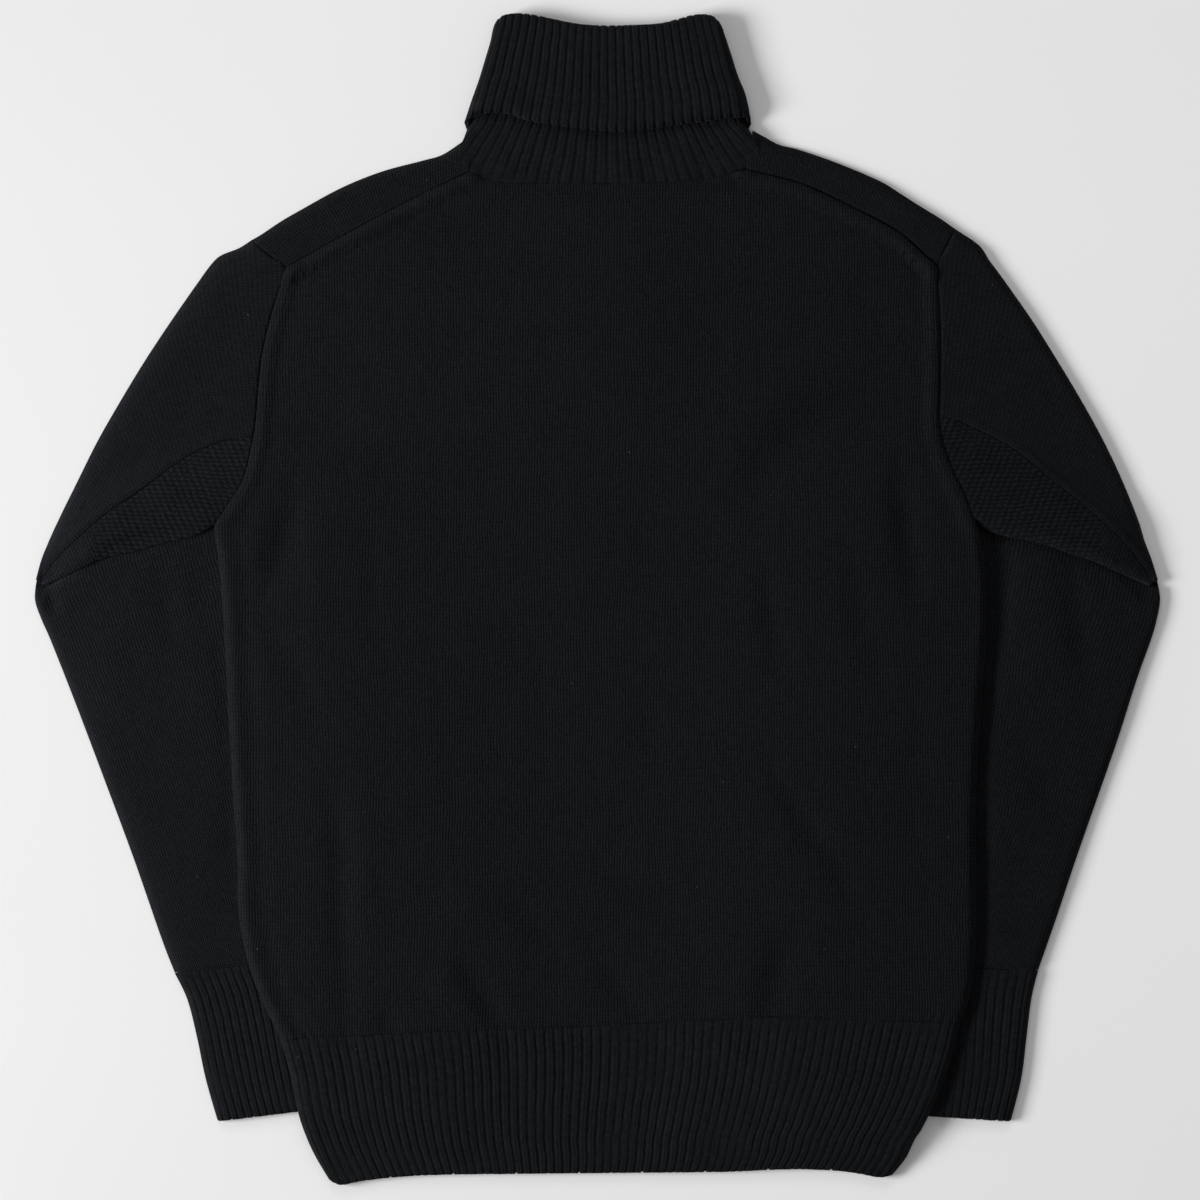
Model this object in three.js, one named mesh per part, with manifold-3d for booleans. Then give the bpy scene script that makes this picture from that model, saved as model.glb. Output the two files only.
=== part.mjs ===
// A chunky roll-neck sweater that lies flat on its front, with its back upwards.
// Millimetres, +Z up, +Y from the hem to the collar, +X to the right seen from above.
// The sleeves are bent at the elbow, and the body lies on their lower stretches.

import * as THREE from 'three';
import Module from 'manifold-3d';

// Driving dimensions of the cloth
const WALL = 2.7;
const GAP = 0.3;
const LAYER = WALL + GAP;
const TUBE = 2 * WALL + GAP;
const LIFT = TUBE + GAP;
const JOINT_GAP = 1.2 * GAP;
const ROLL = 4;
const SEAM_ROLL = 1.2;
const INNER_LIP = 0.8;
const INTO_BODY = 2;

// Ribs: the width of one rib and the depth of the furrow between two of them
const HEM_RIBS = 72;
const CUFF_RIBS = 20;
const COLLAR_RIBS = 30;
const RIB_DEPTH = 1.2;
const COLLAR_RIB_DEPTH = 1.3;

// How softly the body comes down beside, above and below the sleeve under it
const SLOPE_IN = 46;
const SLOPE_UP = 42;
const SLOPE_DOWN = 38;
const FOLD_RISE = 40;
const CLEAR = 8;

// Collar: the shoulder of the stand's rise, the fold at the top, and where the stand ends under it
const STAND_RISE_FROM = 309;
const STAND_RISE_TO = 331;
const STAND_TOP = 390;
const ROLLED_TUBE = 2 * TUBE + GAP;

// Outlines seen from above. Each row is a point of the line, in millimetres.
const LEFT = {
  name: 'left',
  sign: -1,
  upperOuter: [
    { x: -239, y: 252 }, { x: -252, y: 246.5 }, { x: -264, y: 241.5 }, { x: -270, y: 236 },
    { x: -279.5, y: 223.5 }, { x: -299, y: 195.5 }, { x: -317.5, y: 167.5 },
    { x: -334.5, y: 140 }, { x: -354.5, y: 104.5 }, { x: -371.5, y: 70 },
    { x: -385.5, y: 35 }, { x: -391.6, y: 15 },
  ],
  armhole: [
    { x: -239, y: 252 }, { x: -219, y: 232 }, { x: -228, y: 203 }, { x: -236, y: 168 },
    { x: -240, y: 126 }, { x: -243, y: 105 }, { x: -248, y: 84 }, { x: -259, y: 66 },
    { x: -268, y: 52 },
  ],
  fold: [
    { x: -268, y: 52 }, { x: -282, y: 45 }, { x: -306, y: 39 }, { x: -328, y: 33 },
    { x: -344, y: 29.5 }, { x: -357, y: 24 }, { x: -370, y: 17.9 }, { x: -386.6, y: 9.8 },
  ],
  gusset: [
    { along: 0, across: 0.685 }, { along: 0.25, across: 0.63 }, { along: 0.5, across: 0.63 },
    { along: 0.75, across: 0.59 }, { along: 1, across: 0.45 },
  ],
  forearmTop: [
    { x: -392.2, y: 14.2 }, { x: -387, y: 9 }, { x: -370, y: 17 }, { x: -357, y: 22.8 },
    { x: -340, y: 38 }, { x: -310, y: 55 }, { x: -268, y: 70 }, { x: -232, y: 80 },
  ],
  forearmOuter: [
    { x: -392.2, y: 14.2 }, { x: -394.4, y: 0 }, { x: -384.2, y: -27 },
    { x: -367.4, y: -70 }, { x: -346, y: -126 }, { x: -325.4, y: -182 },
    { x: -305.8, y: -238 }, { x: -296.6, y: -262 },
  ],
  forearmInner: [{ x: -232, y: 80 }, { x: -180, y: -250 }],
  cuffOuter: [
    { x: -296.6, y: -262 }, { x: -286.6, y: -284 }, { x: -280.6, y: -308 },
    { x: -275, y: -336 }, { x: -267, y: -364.5 },
  ],
  cuffInner: [{ x: -180, y: -250 }, { x: -163, y: -353 }],
  bodySide: [
    { x: -268, y: 52 }, { x: -263, y: 0 }, { x: -259, y: -70 }, { x: -255, y: -140 },
    { x: -252, y: -182 }, { x: -252, y: -212 }, { x: -248, y: -240 }, { x: -240, y: -269 },
    { x: -222, y: -308 },
  ],
  hemSide: [
    { x: -222, y: -308 }, { x: -215, y: -331 }, { x: -209.5, y: -358 },
    { x: -203, y: -378 }, { x: -196.5, y: -393 }, { x: -188, y: -406.5 },
  ],
  shoulderSeam: [
    { x: -219, y: 232 }, { x: -187, y: 250 }, { x: -152, y: 269 }, { x: -117, y: 287 },
    { x: -90.3, y: 299.7 },
  ],
  shoulderFold: [
    { x: -239, y: 252 }, { x: -226, y: 262 }, { x: -198, y: 280 }, { x: -154, y: 299 },
    { x: -114, y: 313 }, { x: -88, y: 326 },
  ],
};

const RIGHT = {
  name: 'right',
  sign: 1,
  upperOuter: [
    { x: 250, y: 259 }, { x: 258.5, y: 255.3 }, { x: 267, y: 249 }, { x: 275, y: 237.8 },
    { x: 285.4, y: 223.6 }, { x: 304.8, y: 195.6 }, { x: 322.3, y: 167.6 },
    { x: 339.2, y: 139.8 }, { x: 358, y: 105 }, { x: 373.6, y: 70 }, { x: 386.4, y: 35 },
    { x: 392, y: 15 },
  ],
  armhole: [
    { x: 250, y: 259 }, { x: 238, y: 233 }, { x: 240, y: 196 }, { x: 240, y: 154 },
    { x: 240, y: 119 }, { x: 247, y: 94 }, { x: 257, y: 73 }, { x: 264, y: 54 },
  ],
  fold: [
    { x: 264, y: 54 }, { x: 280, y: 46 }, { x: 308, y: 40 }, { x: 327, y: 33.5 },
    { x: 344, y: 28 }, { x: 357, y: 22.7 }, { x: 370, y: 16.8 }, { x: 386.6, y: 9.4 },
  ],
  gusset: [
    { along: 0, across: 0.625 }, { along: 0.25, across: 0.58 }, { along: 0.5, across: 0.585 },
    { along: 0.75, across: 0.56 }, { along: 1, across: 0.45 },
  ],
  forearmTop: [
    { x: 392.6, y: 14.2 }, { x: 387, y: 8.6 }, { x: 370, y: 15.9 }, { x: 357, y: 21.5 },
    { x: 340, y: 37 }, { x: 310, y: 56 }, { x: 264, y: 72 }, { x: 216, y: 82 },
  ],
  forearmOuter: [
    { x: 392.6, y: 14.2 }, { x: 394.4, y: 0 }, { x: 388, y: -28 }, { x: 375, y: -68 },
    { x: 360.2, y: -112 }, { x: 344.9, y: -154 }, { x: 330.8, y: -196 },
    { x: 316.8, y: -238 }, { x: 309, y: -260 },
  ],
  forearmInner: [{ x: 216, y: 82 }, { x: 178, y: -256 }],
  cuffOuter: [
    { x: 309, y: -260 }, { x: 304, y: -282 }, { x: 300.8, y: -308 }, { x: 297.2, y: -336 },
    { x: 291, y: -365 },
  ],
  cuffInner: [{ x: 178, y: -256 }, { x: 185, y: -359 }],
  bodySide: [
    { x: 264, y: 54 }, { x: 271, y: 28 }, { x: 273, y: -14 }, { x: 269, y: -70 },
    { x: 265, y: -140 }, { x: 265, y: -182 }, { x: 265, y: -240 }, { x: 261, y: -276 },
    { x: 254, y: -296 },
  ],
  hemSide: [
    { x: 254, y: -296 }, { x: 248, y: -319 }, { x: 240, y: -343 }, { x: 226, y: -371 },
    { x: 217, y: -391 }, { x: 209, y: -403 },
  ],
  shoulderSeam: [
    { x: 238, y: 233 }, { x: 212, y: 257 }, { x: 177, y: 276 }, { x: 142, y: 292 },
    { x: 104.3, y: 301.7 },
  ],
  shoulderFold: [
    { x: 250, y: 259 }, { x: 219, y: 280 }, { x: 187, y: 299 }, { x: 159, y: 310 },
    { x: 121, y: 321 }, { x: 104, y: 328 },
  ],
};

const SIDES = [LEFT, RIGHT];

// Lines that cross the body, from left to right
const HEM_JOINT = [
  { x: -222, y: -308 }, { x: -103, y: -302 }, { x: 3, y: -299 }, { x: 124, y: -292 },
  { x: 170, y: -293 }, { x: 254, y: -296 },
];
const HEM_EDGE = [
  { x: -188, y: -406.5 }, { x: -180, y: -409 }, { x: -159, y: -406 },
  { x: -124, y: -403.6 }, { x: -60, y: -402 }, { x: 2, y: -401.3 }, { x: 100, y: -400 },
  { x: 142, y: -399 }, { x: 170, y: -400 }, { x: 190, y: -402.6 }, { x: 209, y: -403 },
];
const BACK_NECK = [
  { x: -94, y: 323 }, { x: -98, y: 311 }, { x: -90, y: 300 }, { x: -68, y: 292.5 },
  { x: 2, y: 291.5 }, { x: 72, y: 294 }, { x: 104, y: 302 }, { x: 114, y: 313 },
  { x: 109, y: 325 },
];
const FRONT_NECK = [
  { x: -94, y: 323 }, { x: -86, y: 290 }, { x: -58, y: 258 }, { x: 2, y: 244 },
  { x: 66, y: 258 }, { x: 98, y: 290 }, { x: 109, y: 325 },
];
const ROLL_EDGE = [
  { x: -92.5, y: 335 }, { x: -82, y: 341 }, { x: -61, y: 341 }, { x: -47, y: 336 },
  { x: 2, y: 329 }, { x: 30, y: 329 }, { x: 100, y: 338 }, { x: 107.5, y: 333 },
];
const ROLL_TOP = [
  { x: -73.5, y: 399 }, { x: -70.5, y: 404.5 }, { x: -65, y: 408.4 },
  { x: -57, y: 409.8 }, { x: -48, y: 409.4 }, { x: -33, y: 406.6 }, { x: -19, y: 403.4 },
  { x: -5, y: 401.8 }, { x: 16, y: 401.4 }, { x: 37, y: 402.3 }, { x: 51, y: 404.6 },
  { x: 62, y: 408 }, { x: 71, y: 409.2 }, { x: 79, y: 408 }, { x: 85, y: 403.4 },
  { x: 88, y: 398 },
];
const ROLL_LEFT = [
  { x: -92.5, y: 335 }, { x: -88, y: 349.7 }, { x: -83, y: 363.7 },
  { x: -78.8, y: 377.7 }, { x: -75.5, y: 390 }, { x: -73.5, y: 399 },
];
const ROLL_RIGHT = [
  { x: 107.5, y: 333 }, { x: 104, y: 349.7 }, { x: 98.4, y: 363.7 },
  { x: 94.2, y: 377.7 }, { x: 90.5, y: 390 }, { x: 88, y: 398 },
];
const STAND_INSET = 3.6;

// Share of a panel's height at the underarm, and how the front's top keeps off the shoulder fold
const UNDERARM = 0.62;
const FOLD_INSET = 6.4;
const CORNER_SHARE = 0.024;

const { lerp, clamp } = THREE.MathUtils;
const ramp = (share) => THREE.MathUtils.smoothstep(share, 0, 1);
const even = (count) => Array.from({ length: count + 1 }, (_, i) => i / count);

// Straight line through a table's points, read by the share of its length.
function lineOf(table) {
  const path = new THREE.CurvePath();
  for (let i = 1; i < table.length; i += 1) {
    const from = new THREE.Vector2(table[i - 1].x, table[i - 1].y);
    const to = new THREE.Vector2(table[i].x, table[i].y);
    path.add(new THREE.LineCurve(from, to));
  }
  return (share) => path.getPoint(clamp(share, 0, 1));
}

// The shares of a table's length at which its points lie, with one more between two far ones.
function vertexShares(table) {
  const steps = table.slice(1).map((row, i) => Math.hypot(row.x - table[i].x, row.y - table[i].y));
  const whole = steps.reduce((sum, step) => sum + step, 0);
  const shares = [0];
  let walked = 0;
  for (const step of steps) {
    if (step > 0.12 * whole) shares.push((walked + step / 2) / whole);
    walked += step;
    shares.push(walked / whole);
  }
  return shares;
}

// Smooth line through a table's points.
function curveOf(table) {
  const spline = new THREE.SplineCurve(table.map((row) => new THREE.Vector2(row.x, row.y)));
  return (share) => spline.getPointAt(clamp(share, 0, 1));
}

// Column `to` of a table at a value of its rising or falling column `from`.
function read(table, from, to, value) {
  const last = table.length - 1;
  const rising = table[last][from] > table[0][from];
  let i = 1;
  while (i < last && (rising ? table[i][from] < value : table[i][from] > value)) i += 1;
  const share = (value - table[i - 1][from]) / (table[i][from] - table[i - 1][from]);
  return lerp(table[i - 1][to], table[i][to], clamp(share, 0, 1));
}

// How far a sleeve holds up what lies over it, at a place seen from above.
function lift(x, y) {
  let most = 0;
  for (const side of SIDES) {
    const inner = [side.forearmInner[0], side.cuffInner[0], side.cuffInner[1]];
    const beside = side.sign * (read(inner, 'y', 'x', y) - x);
    const above = y - read(side.forearmTop, 'x', 'y', x);
    const end = [side.cuffOuter[side.cuffOuter.length - 1], side.cuffInner[1]];
    const below = read(end, 'x', 'y', x) - y;
    const fromElbow = Math.abs(side.forearmTop[0].x) - Math.abs(x);
    const share = (1 - ramp((beside - CLEAR) / SLOPE_IN))
      * (1 - ramp((above - CLEAR) / SLOPE_UP))
      * (1 - ramp((below - CLEAR) / SLOPE_DOWN))
      * ramp(fromElbow / FOLD_RISE);
    most = Math.max(most, share);
  }
  return LIFT * most;
}

// Half the height of a flattened tube at a distance from its folded edge.
function swell(distance, roll, half) {
  if (distance >= roll) return half;
  return half * Math.sqrt(1 - (1 - Math.max(distance, 0) / roll) ** 2);
}

// A closed wall between an outer and an inner grid of points, joined along their rims.
// A ring's columns go all the way round, so only its first and last rows have a rim.
function wall(outer, inner, ring) {
  const positions = [];
  const triangles = [];
  const keep = (grid) => grid.map((row) => row.map((point) => {
    positions.push(point[0], point[1], point[2]);
    return positions.length / 3 - 1;
  }));
  const place = (id) => new THREE.Vector3().fromArray(positions, 3 * id);
  const skin = (ids, turned) => {
    for (let r = 0; r + 1 < ids.length; r += 1) {
      const columns = ids[r].length;
      for (let c = 0; c < (ring ? columns : columns - 1); c += 1) {
        const next = (c + 1) % columns;
        const [a, b, e, f] = [ids[r][c], ids[r][next], ids[r + 1][next], ids[r + 1][c]];
        if (turned) triangles.push([a, e, b], [a, f, e]);
        else triangles.push([a, b, e], [a, e, f]);
      }
    }
  };
  const rim = (out, back) => {
    let i = 0;
    let j = 0;
    while (i + 1 < out.length || j + 1 < back.length) {
      const canOut = i + 1 < out.length;
      const canBack = j + 1 < back.length;
      const outStep = canOut ? place(out[i + 1]).distanceTo(place(back[j])) : Infinity;
      const backStep = canBack ? place(out[i]).distanceTo(place(back[j + 1])) : Infinity;
      if (outStep <= backStep) {
        triangles.push([out[i + 1], out[i], back[j]]);
        i += 1;
      } else {
        triangles.push([back[j], back[j + 1], out[i]]);
        j += 1;
      }
    }
  };
  const out = keep(outer);
  const back = keep(inner);
  skin(out, false);
  skin(back, true);
  const wrap = (row) => (ring ? [...row, row[0]] : [...row]);
  rim(wrap(out[0]), wrap(back[0]));
  rim(wrap(out[out.length - 1]).reverse(), wrap(back[back.length - 1]).reverse());
  if (!ring) {
    rim(out.map((row) => row[row.length - 1]), back.map((row) => row[row.length - 1]));
    rim(out.map((row) => row[0]).reverse(), back.map((row) => row[0]).reverse());
  }
  let volume = 0;
  for (const [a, b, c] of triangles) {
    volume += place(a).dot(place(b).cross(place(c)));
  }
  const geometry = new THREE.BufferGeometry();
  geometry.setAttribute('position', new THREE.Float32BufferAttribute(positions, 3));
  geometry.setIndex(triangles.flatMap(([a, b, c]) => (volume > 0 ? [a, b, c] : [a, c, b])));
  return geometry;
}

const wasm = await Module();
wasm.setup();

// Takes one closed geometry away from another.
function cut(geometry, tool) {
  const solid = (source) => {
    const vertProperties = new Float32Array(source.getAttribute('position').array);
    const triVerts = new Uint32Array(source.getIndex().array);
    const mesh = new wasm.Mesh({ numProp: 3, vertProperties, triVerts });
    mesh.merge();
    return new wasm.Manifold(mesh);
  };
  const mesh = solid(geometry).subtract(solid(tool)).getMesh();
  const result = new THREE.BufferGeometry();
  result.setAttribute('position', new THREE.BufferAttribute(mesh.vertProperties, 3));
  result.setIndex(new THREE.BufferAttribute(mesh.triVerts, 1));
  return result;
}

// An upright block that stands over an outline, for cutting the panels.
const BLOCK_TOP = 360;
const BLOCK_HEIGHT = 30;
const BLOCK_LOW = -10;
const NECK_SIDE = 60;

function block(points) {
  const shape = new THREE.Shape(points.map((row) => new THREE.Vector2(row.x, row.y)));
  const geometry = new THREE.ExtrudeGeometry(shape, { depth: BLOCK_HEIGHT, bevelEnabled: false });
  geometry.translate(0, 0, BLOCK_LOW);
  geometry.deleteAttribute('normal');
  geometry.deleteAttribute('uv');
  const count = geometry.getAttribute('position').count;
  geometry.setIndex(Array.from({ length: count }, (_, i) => i));
  return geometry;
}


// The points of a neckline, moved out into the cloth by a seam's gap.
function neckPoints(table) {
  if (table === FRONT_NECK) {
    const curve = curveOf(table);
    return outward(even(24).map((share) => curve(share)));
  }
  return outward(table);
}

function outward(table) {
  const first = table[0];
  const last = table[table.length - 1];
  const middle = (first.x + last.x) / 2;
  const depth = Math.min(...table.map((row) => row.y));
  return table.map((row) => ({
    x: row.x + 1.5 * GAP * clamp((row.x - middle) / NECK_SIDE, -1, 1),
    y: row.y - JOINT_GAP * clamp((first.y - row.y) / (first.y - depth), 0, 1),
  }));
}

function neckBlock(table) {
  const points = neckPoints(table);
  const last = points[points.length - 1];
  return block([{ x: points[0].x, y: BLOCK_TOP }, ...points, { x: last.x, y: BLOCK_TOP }]);
}

// Everything above the shoulder seams and the back neckline.
function shoulderBlock() {
  const reach = 30;
  return block([
    { x: LEFT.shoulderSeam[0].x - reach, y: LEFT.shoulderSeam[0].y + reach },
    ...LEFT.shoulderSeam,
    ...neckPoints(BACK_NECK).slice(3, -3),
    ...[...RIGHT.shoulderSeam].reverse(),
    { x: RIGHT.shoulderSeam[0].x + reach * 0.6, y: RIGHT.shoulderSeam[0].y + reach * 1.2 },
    { x: RIGHT.shoulderSeam[0].x + reach * 0.6, y: BLOCK_TOP },
    { x: LEFT.shoulderSeam[0].x - reach, y: BLOCK_TOP },
  ]);
}

// Where a rolled edge's columns lie, as shares of its roll.
const EDGE_STEP = 0.12;
const SHOULDER_STEP = 0.45;

// Shares across a section: close together at the two rolled edges, and even between them.
function acrossShares(length, count, roll) {
  const near = [0, EDGE_STEP, SHOULDER_STEP, 1].map((step) => step * roll / length);
  const first = near[near.length - 1];
  const inside = even(count).slice(1, -1).map((share) => lerp(first, 1 - first, share));
  return [...near, ...inside, ...near.map((share) => 1 - share).reverse()];
}

// Rows of a panel between a left and a right edge, with a lower and an upper line across.
function panelPlan(edges, lower, upper) {
  const [left, right] = edges;
  const bend = (table, share) => {
    const first = table[0];
    const last = table[table.length - 1];
    const x = lerp(first.x, last.x, share);
    return read(table, 'x', 'y', x) - lerp(first.y, last.y, share);
  };
  return (up, share) => {
    const a = left(up);
    const b = right(up);
    const y = lerp(a.y, b.y, share) + (1 - up) * bend(lower, share) + up * bend(upper, share);
    return { x: lerp(a.x, b.x, share), y };
  };
}

// A wall laid on a plan. The upper one is the back of the sweater, the lower one its front.
// Ribs are furrows in the outer face, and the inner face is plain.
function panel(plan, rows, shares, innerShares, options) {
  const { upper, ribs = 0, depth = 0, roll = () => ROLL } = options;
  const width = (up) => {
    const a = plan(up, 0);
    const b = plan(up, 1);
    return Math.hypot(b.x - a.x, b.y - a.y);
  };
  const outer = rows.map((up) => shares.map((share) => {
    const { x, y } = plan(up, share);
    const edge = Math.min(share, 1 - share) * width(up);
    const furrow = ribs ? depth * (0.5 + 0.5 * Math.cos(2 * Math.PI * ribs * share)) : 0;
    const height = Math.max(swell(edge, roll(up), TUBE / 2) - furrow, GAP / 2);
    return [x, y, lift(x, y) + TUBE / 2 + (upper ? height : -height)];
  }));
  const inner = rows.map((up) => innerShares.map((share) => {
    const lip = INNER_LIP / width(up);
    const { x, y } = plan(up, clamp(share, lip, 1 - lip));
    return [x, y, lift(x, y) + TUBE / 2 + (upper ? GAP / 2 : -GAP / 2)];
  }));
  return wall(outer, inner, false);
}

const BODY_ROWS = even(22);
const BODY_WIDTH = 520;
const bodyShares = acrossShares(BODY_WIDTH, 20, ROLL);
const plainShares = even(20);
const bodyRoll = (up) => (up < UNDERARM ? ROLL : SEAM_ROLL);

// Both panels are laid on one plan, whose upper line lies just inside the shoulder folds.
function bodyPlan() {
  const inside = (side) => side.shoulderFold.slice(1).map((row) => ({
    x: row.x, y: row.y - FOLD_INSET,
  }));
  const corner = (side) => lineOf(side.armhole)(CORNER_SHARE);
  const top = [corner(LEFT), ...inside(LEFT), ...inside(RIGHT).reverse(), corner(RIGHT)];
  const edges = SIDES.map((side) => {
    const armhole = lineOf([corner(side), ...side.armhole.slice(1)]);
    const edge = curveOf(side.bodySide);
    return (up) => {
      if (up <= UNDERARM) return edge(1 - up / UNDERARM);
      return armhole(1 - (up - UNDERARM) / (1 - UNDERARM));
    };
  });
  return panelPlan(edges, HEM_JOINT, top);
}

function backPanel() {
  const options = { upper: true, roll: bodyRoll };
  return cut(panel(bodyPlan(), BODY_ROWS, bodyShares, plainShares, options), shoulderBlock());
}

function frontPanel() {
  const options = { upper: false, roll: bodyRoll };
  return cut(panel(bodyPlan(), BODY_ROWS, bodyShares, plainShares, options), neckBlock(FRONT_NECK));
}

function hem(upper) {
  const edges = SIDES.map((side) => {
    const line = curveOf(side.hemSide);
    return (up) => {
      const point = line(1 - up);
      return { x: point.x, y: point.y - JOINT_GAP * up };
    };
  });
  const plan = panelPlan(edges, HEM_EDGE, HEM_JOINT);
  if (!upper) {
    return panel(plan, even(4), acrossShares(430, 20, ROLL), plainShares, { upper });
  }
  const steps = even(HEM_RIBS * 2);
  return panel(plan, even(4), steps, plainShares, { upper, ribs: HEM_RIBS, depth: RIB_DEPTH });
}

// The shoulder extension of the front: from the seam on the back, round the shoulder line,
// to just under it.
function shoulder(side) {
  const seam = lineOf(side.shoulderSeam);
  const fold = curveOf(side.shoulderFold);
  const under = 3.9;
  const at = (along, across) => seam(along).clone().lerp(fold(along), across);
  const length = (along) => at(along, 0).distanceTo(at(along, 1));
  const rows = even(12).map((share) => lerp(0.012, 1, share));
  const outer = rows.map((along) => {
    const whole = length(along);
    const seamGap = 2.6 * GAP / whole;
    const top = [0, 0.3, 0.6, 1].map((share) => lerp(seamGap, 1 - ROLL / whole, share));
    const columns = [
      ...top.map((across) => [across, 1]),
      [1 - SHOULDER_STEP * ROLL / whole, 1], [1 - EDGE_STEP * ROLL / whole, 1], [1, 0],
      [1 - EDGE_STEP * ROLL / whole, -1], [1 - SHOULDER_STEP * ROLL / whole, -1],
      [1 - under / whole, -1],
    ];
    return columns.map(([across, face]) => {
      const { x, y } = at(along, across);
      return [x, y, lift(x, y) + TUBE / 2 + face * swell((1 - across) * whole, ROLL, TUBE / 2)];
    });
  });
  const inner = rows.map((along) => {
    const whole = length(along);
    const columns = [
      [3.2 * GAP / whole, 1], [0.5, 1], [1 - WALL / whole, 1],
      [1 - WALL / whole, -1], [1 - (under - 0.2) / whole, -1],
    ];
    return columns.map(([across, face]) => {
      const { x, y } = at(along, across);
      return [x, y, lift(x, y) + TUBE / 2 + face * GAP / 2];
    });
  });
  return cut(wall(outer, inner, false), neckBlock(BACK_NECK));
}

// The body's own side, a seam's gap wider, for trimming what is sewn to it.
function armholeBlock(side) {
  const plan = bodyPlan();
  const edge = BODY_ROWS.filter((up) => up > UNDERARM - 0.08).map((up) => {
    const { x, y } = plan(up, side === LEFT ? 0 : 1);
    return { x: x + side.sign * 1.1 * GAP, y: y - (up > 0.99 ? 0 : GAP) };
  });
  const first = edge[0];
  const last = edge[edge.length - 1];
  const notch = { x: side.armhole[0].x + side.sign * GAP, y: side.armhole[0].y + 2 };
  return block([
    { x: first.x - side.sign * 60, y: first.y }, ...edge, notch,
    { x: last.x - side.sign * 60, y: last.y + 40 },
  ]);
}

// Plan of the upper sleeve: from the armhole to the elbow, and from the outer edge to the fold.
function upperPlan(side) {
  const outer = curveOf(side.upperOuter);
  const fold = curveOf(side.fold);
  const armhole = lineOf(side.armhole);
  return (along, across) => {
    const a = outer(along);
    const b = fold(along);
    const chord = outer(0).clone().lerp(fold(0), across);
    const bow = armhole(across).sub(chord).multiplyScalar((1 - along) ** 1.5);
    return {
      x: lerp(a.x, b.x, across) + bow.x - side.sign * INTO_BODY * (1 - along) ** 8,
      y: lerp(a.y, b.y, across) + bow.y,
    };
  };
}

function upperLength(plan, along) {
  let length = 0;
  let last = plan(along, 0);
  for (const share of even(12).slice(1)) {
    const next = plan(along, share);
    length += Math.hypot(next.x - last.x, next.y - last.y);
    last = next;
  }
  return length;
}

const UPPER_ROWS = even(12);

// The upper sleeve from the gusset's edge on top, round the outer edge, to the fold underneath.
function upperSleeve(side) {
  const plan = upperPlan(side);
  const section = (along, inside) => {
    const whole = upperLength(plan, along);
    const roll = Math.min(ROLL, 0.4 * whole);
    const seam = read(side.gusset, 'along', 'across', along) - 0.8 * GAP / whole;
    const point = (across, face, distance) => {
      const { x, y } = plan(along, across);
      const half = inside ? GAP / 2 : swell(distance, roll, TUBE / 2);
      return [x, y, lift(x, y) + TUBE / 2 + face * half];
    };
    if (inside) {
      const near = Math.min(WALL, 0.3 * whole) / whole;
      return [
        ...even(5).reverse().map((share) => point(lerp(near, seam, share), 1)),
        ...even(5).map((share) => point(lerp(near, seam, share), -1)),
        ...even(4).slice(1).map((share) => point(lerp(seam, 1 - INNER_LIP / whole, share), -1)),
      ];
    }
    const first = roll / whole;
    const edge = [SHOULDER_STEP, EDGE_STEP];
    return [
      ...even(8).map((share) => point(lerp(seam, first, share), 1, roll)),
      ...edge.map((share) => point(share * first, 1, share * roll)),
      point(0, 1, 0),
      ...edge.reverse().map((share) => point(share * first, -1, share * roll)),
      ...even(8).map((share) => point(lerp(first, 1 - first, share), -1, roll)),
      point(1 - SHOULDER_STEP * first, -1, SHOULDER_STEP * roll),
      point(1 - EDGE_STEP * first, -1, EDGE_STEP * roll),
      point(1 - 0.01 * first, -1, 0.02 * roll),
    ];
  };
  const outer = UPPER_ROWS.map((along) => section(along, false));
  const inner = UPPER_ROWS.map((along) => section(along, true));
  return cut(wall(outer, inner, false), armholeBlock(side));
}

// The underarm gusset: from its seam on the upper sleeve to the rolled fold.
function gusset(side) {
  const plan = upperPlan(side);
  const section = (along, inside) => {
    const whole = upperLength(plan, along);
    const roll = Math.min(ROLL, 0.4 * whole);
    const seam = read(side.gusset, 'along', 'across', along) + 0.8 * GAP / whole;
    const point = (across, distance) => {
      const { x, y } = plan(along, across);
      const half = inside ? GAP / 2 : Math.max(swell(distance, roll, TUBE / 2), GAP / 2);
      return [x, y, lift(x, y) + TUBE / 2 + half];
    };
    const first = roll / whole;
    if (inside) {
      return even(4).map((share) => point(lerp(seam, 1 - INNER_LIP / whole, share), 0));
    }
    return [
      ...even(5).map((share) => point(lerp(seam, 1 - first, share), roll)),
      point(1 - SHOULDER_STEP * first, SHOULDER_STEP * roll),
      point(1 - EDGE_STEP * first, EDGE_STEP * roll),
      point(1, 0),
    ];
  };
  const outer = UPPER_ROWS.map((along) => section(along, false));
  const inner = UPPER_ROWS.map((along) => section(along, true));
  return cut(wall(outer, inner, false), armholeBlock(side));
}

// The shares of a list that lie inside both rolled edges.
function within(shares) {
  const edge = 0.036;
  return shares.filter((share) => share > edge && share < 1 - edge);
}

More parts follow.
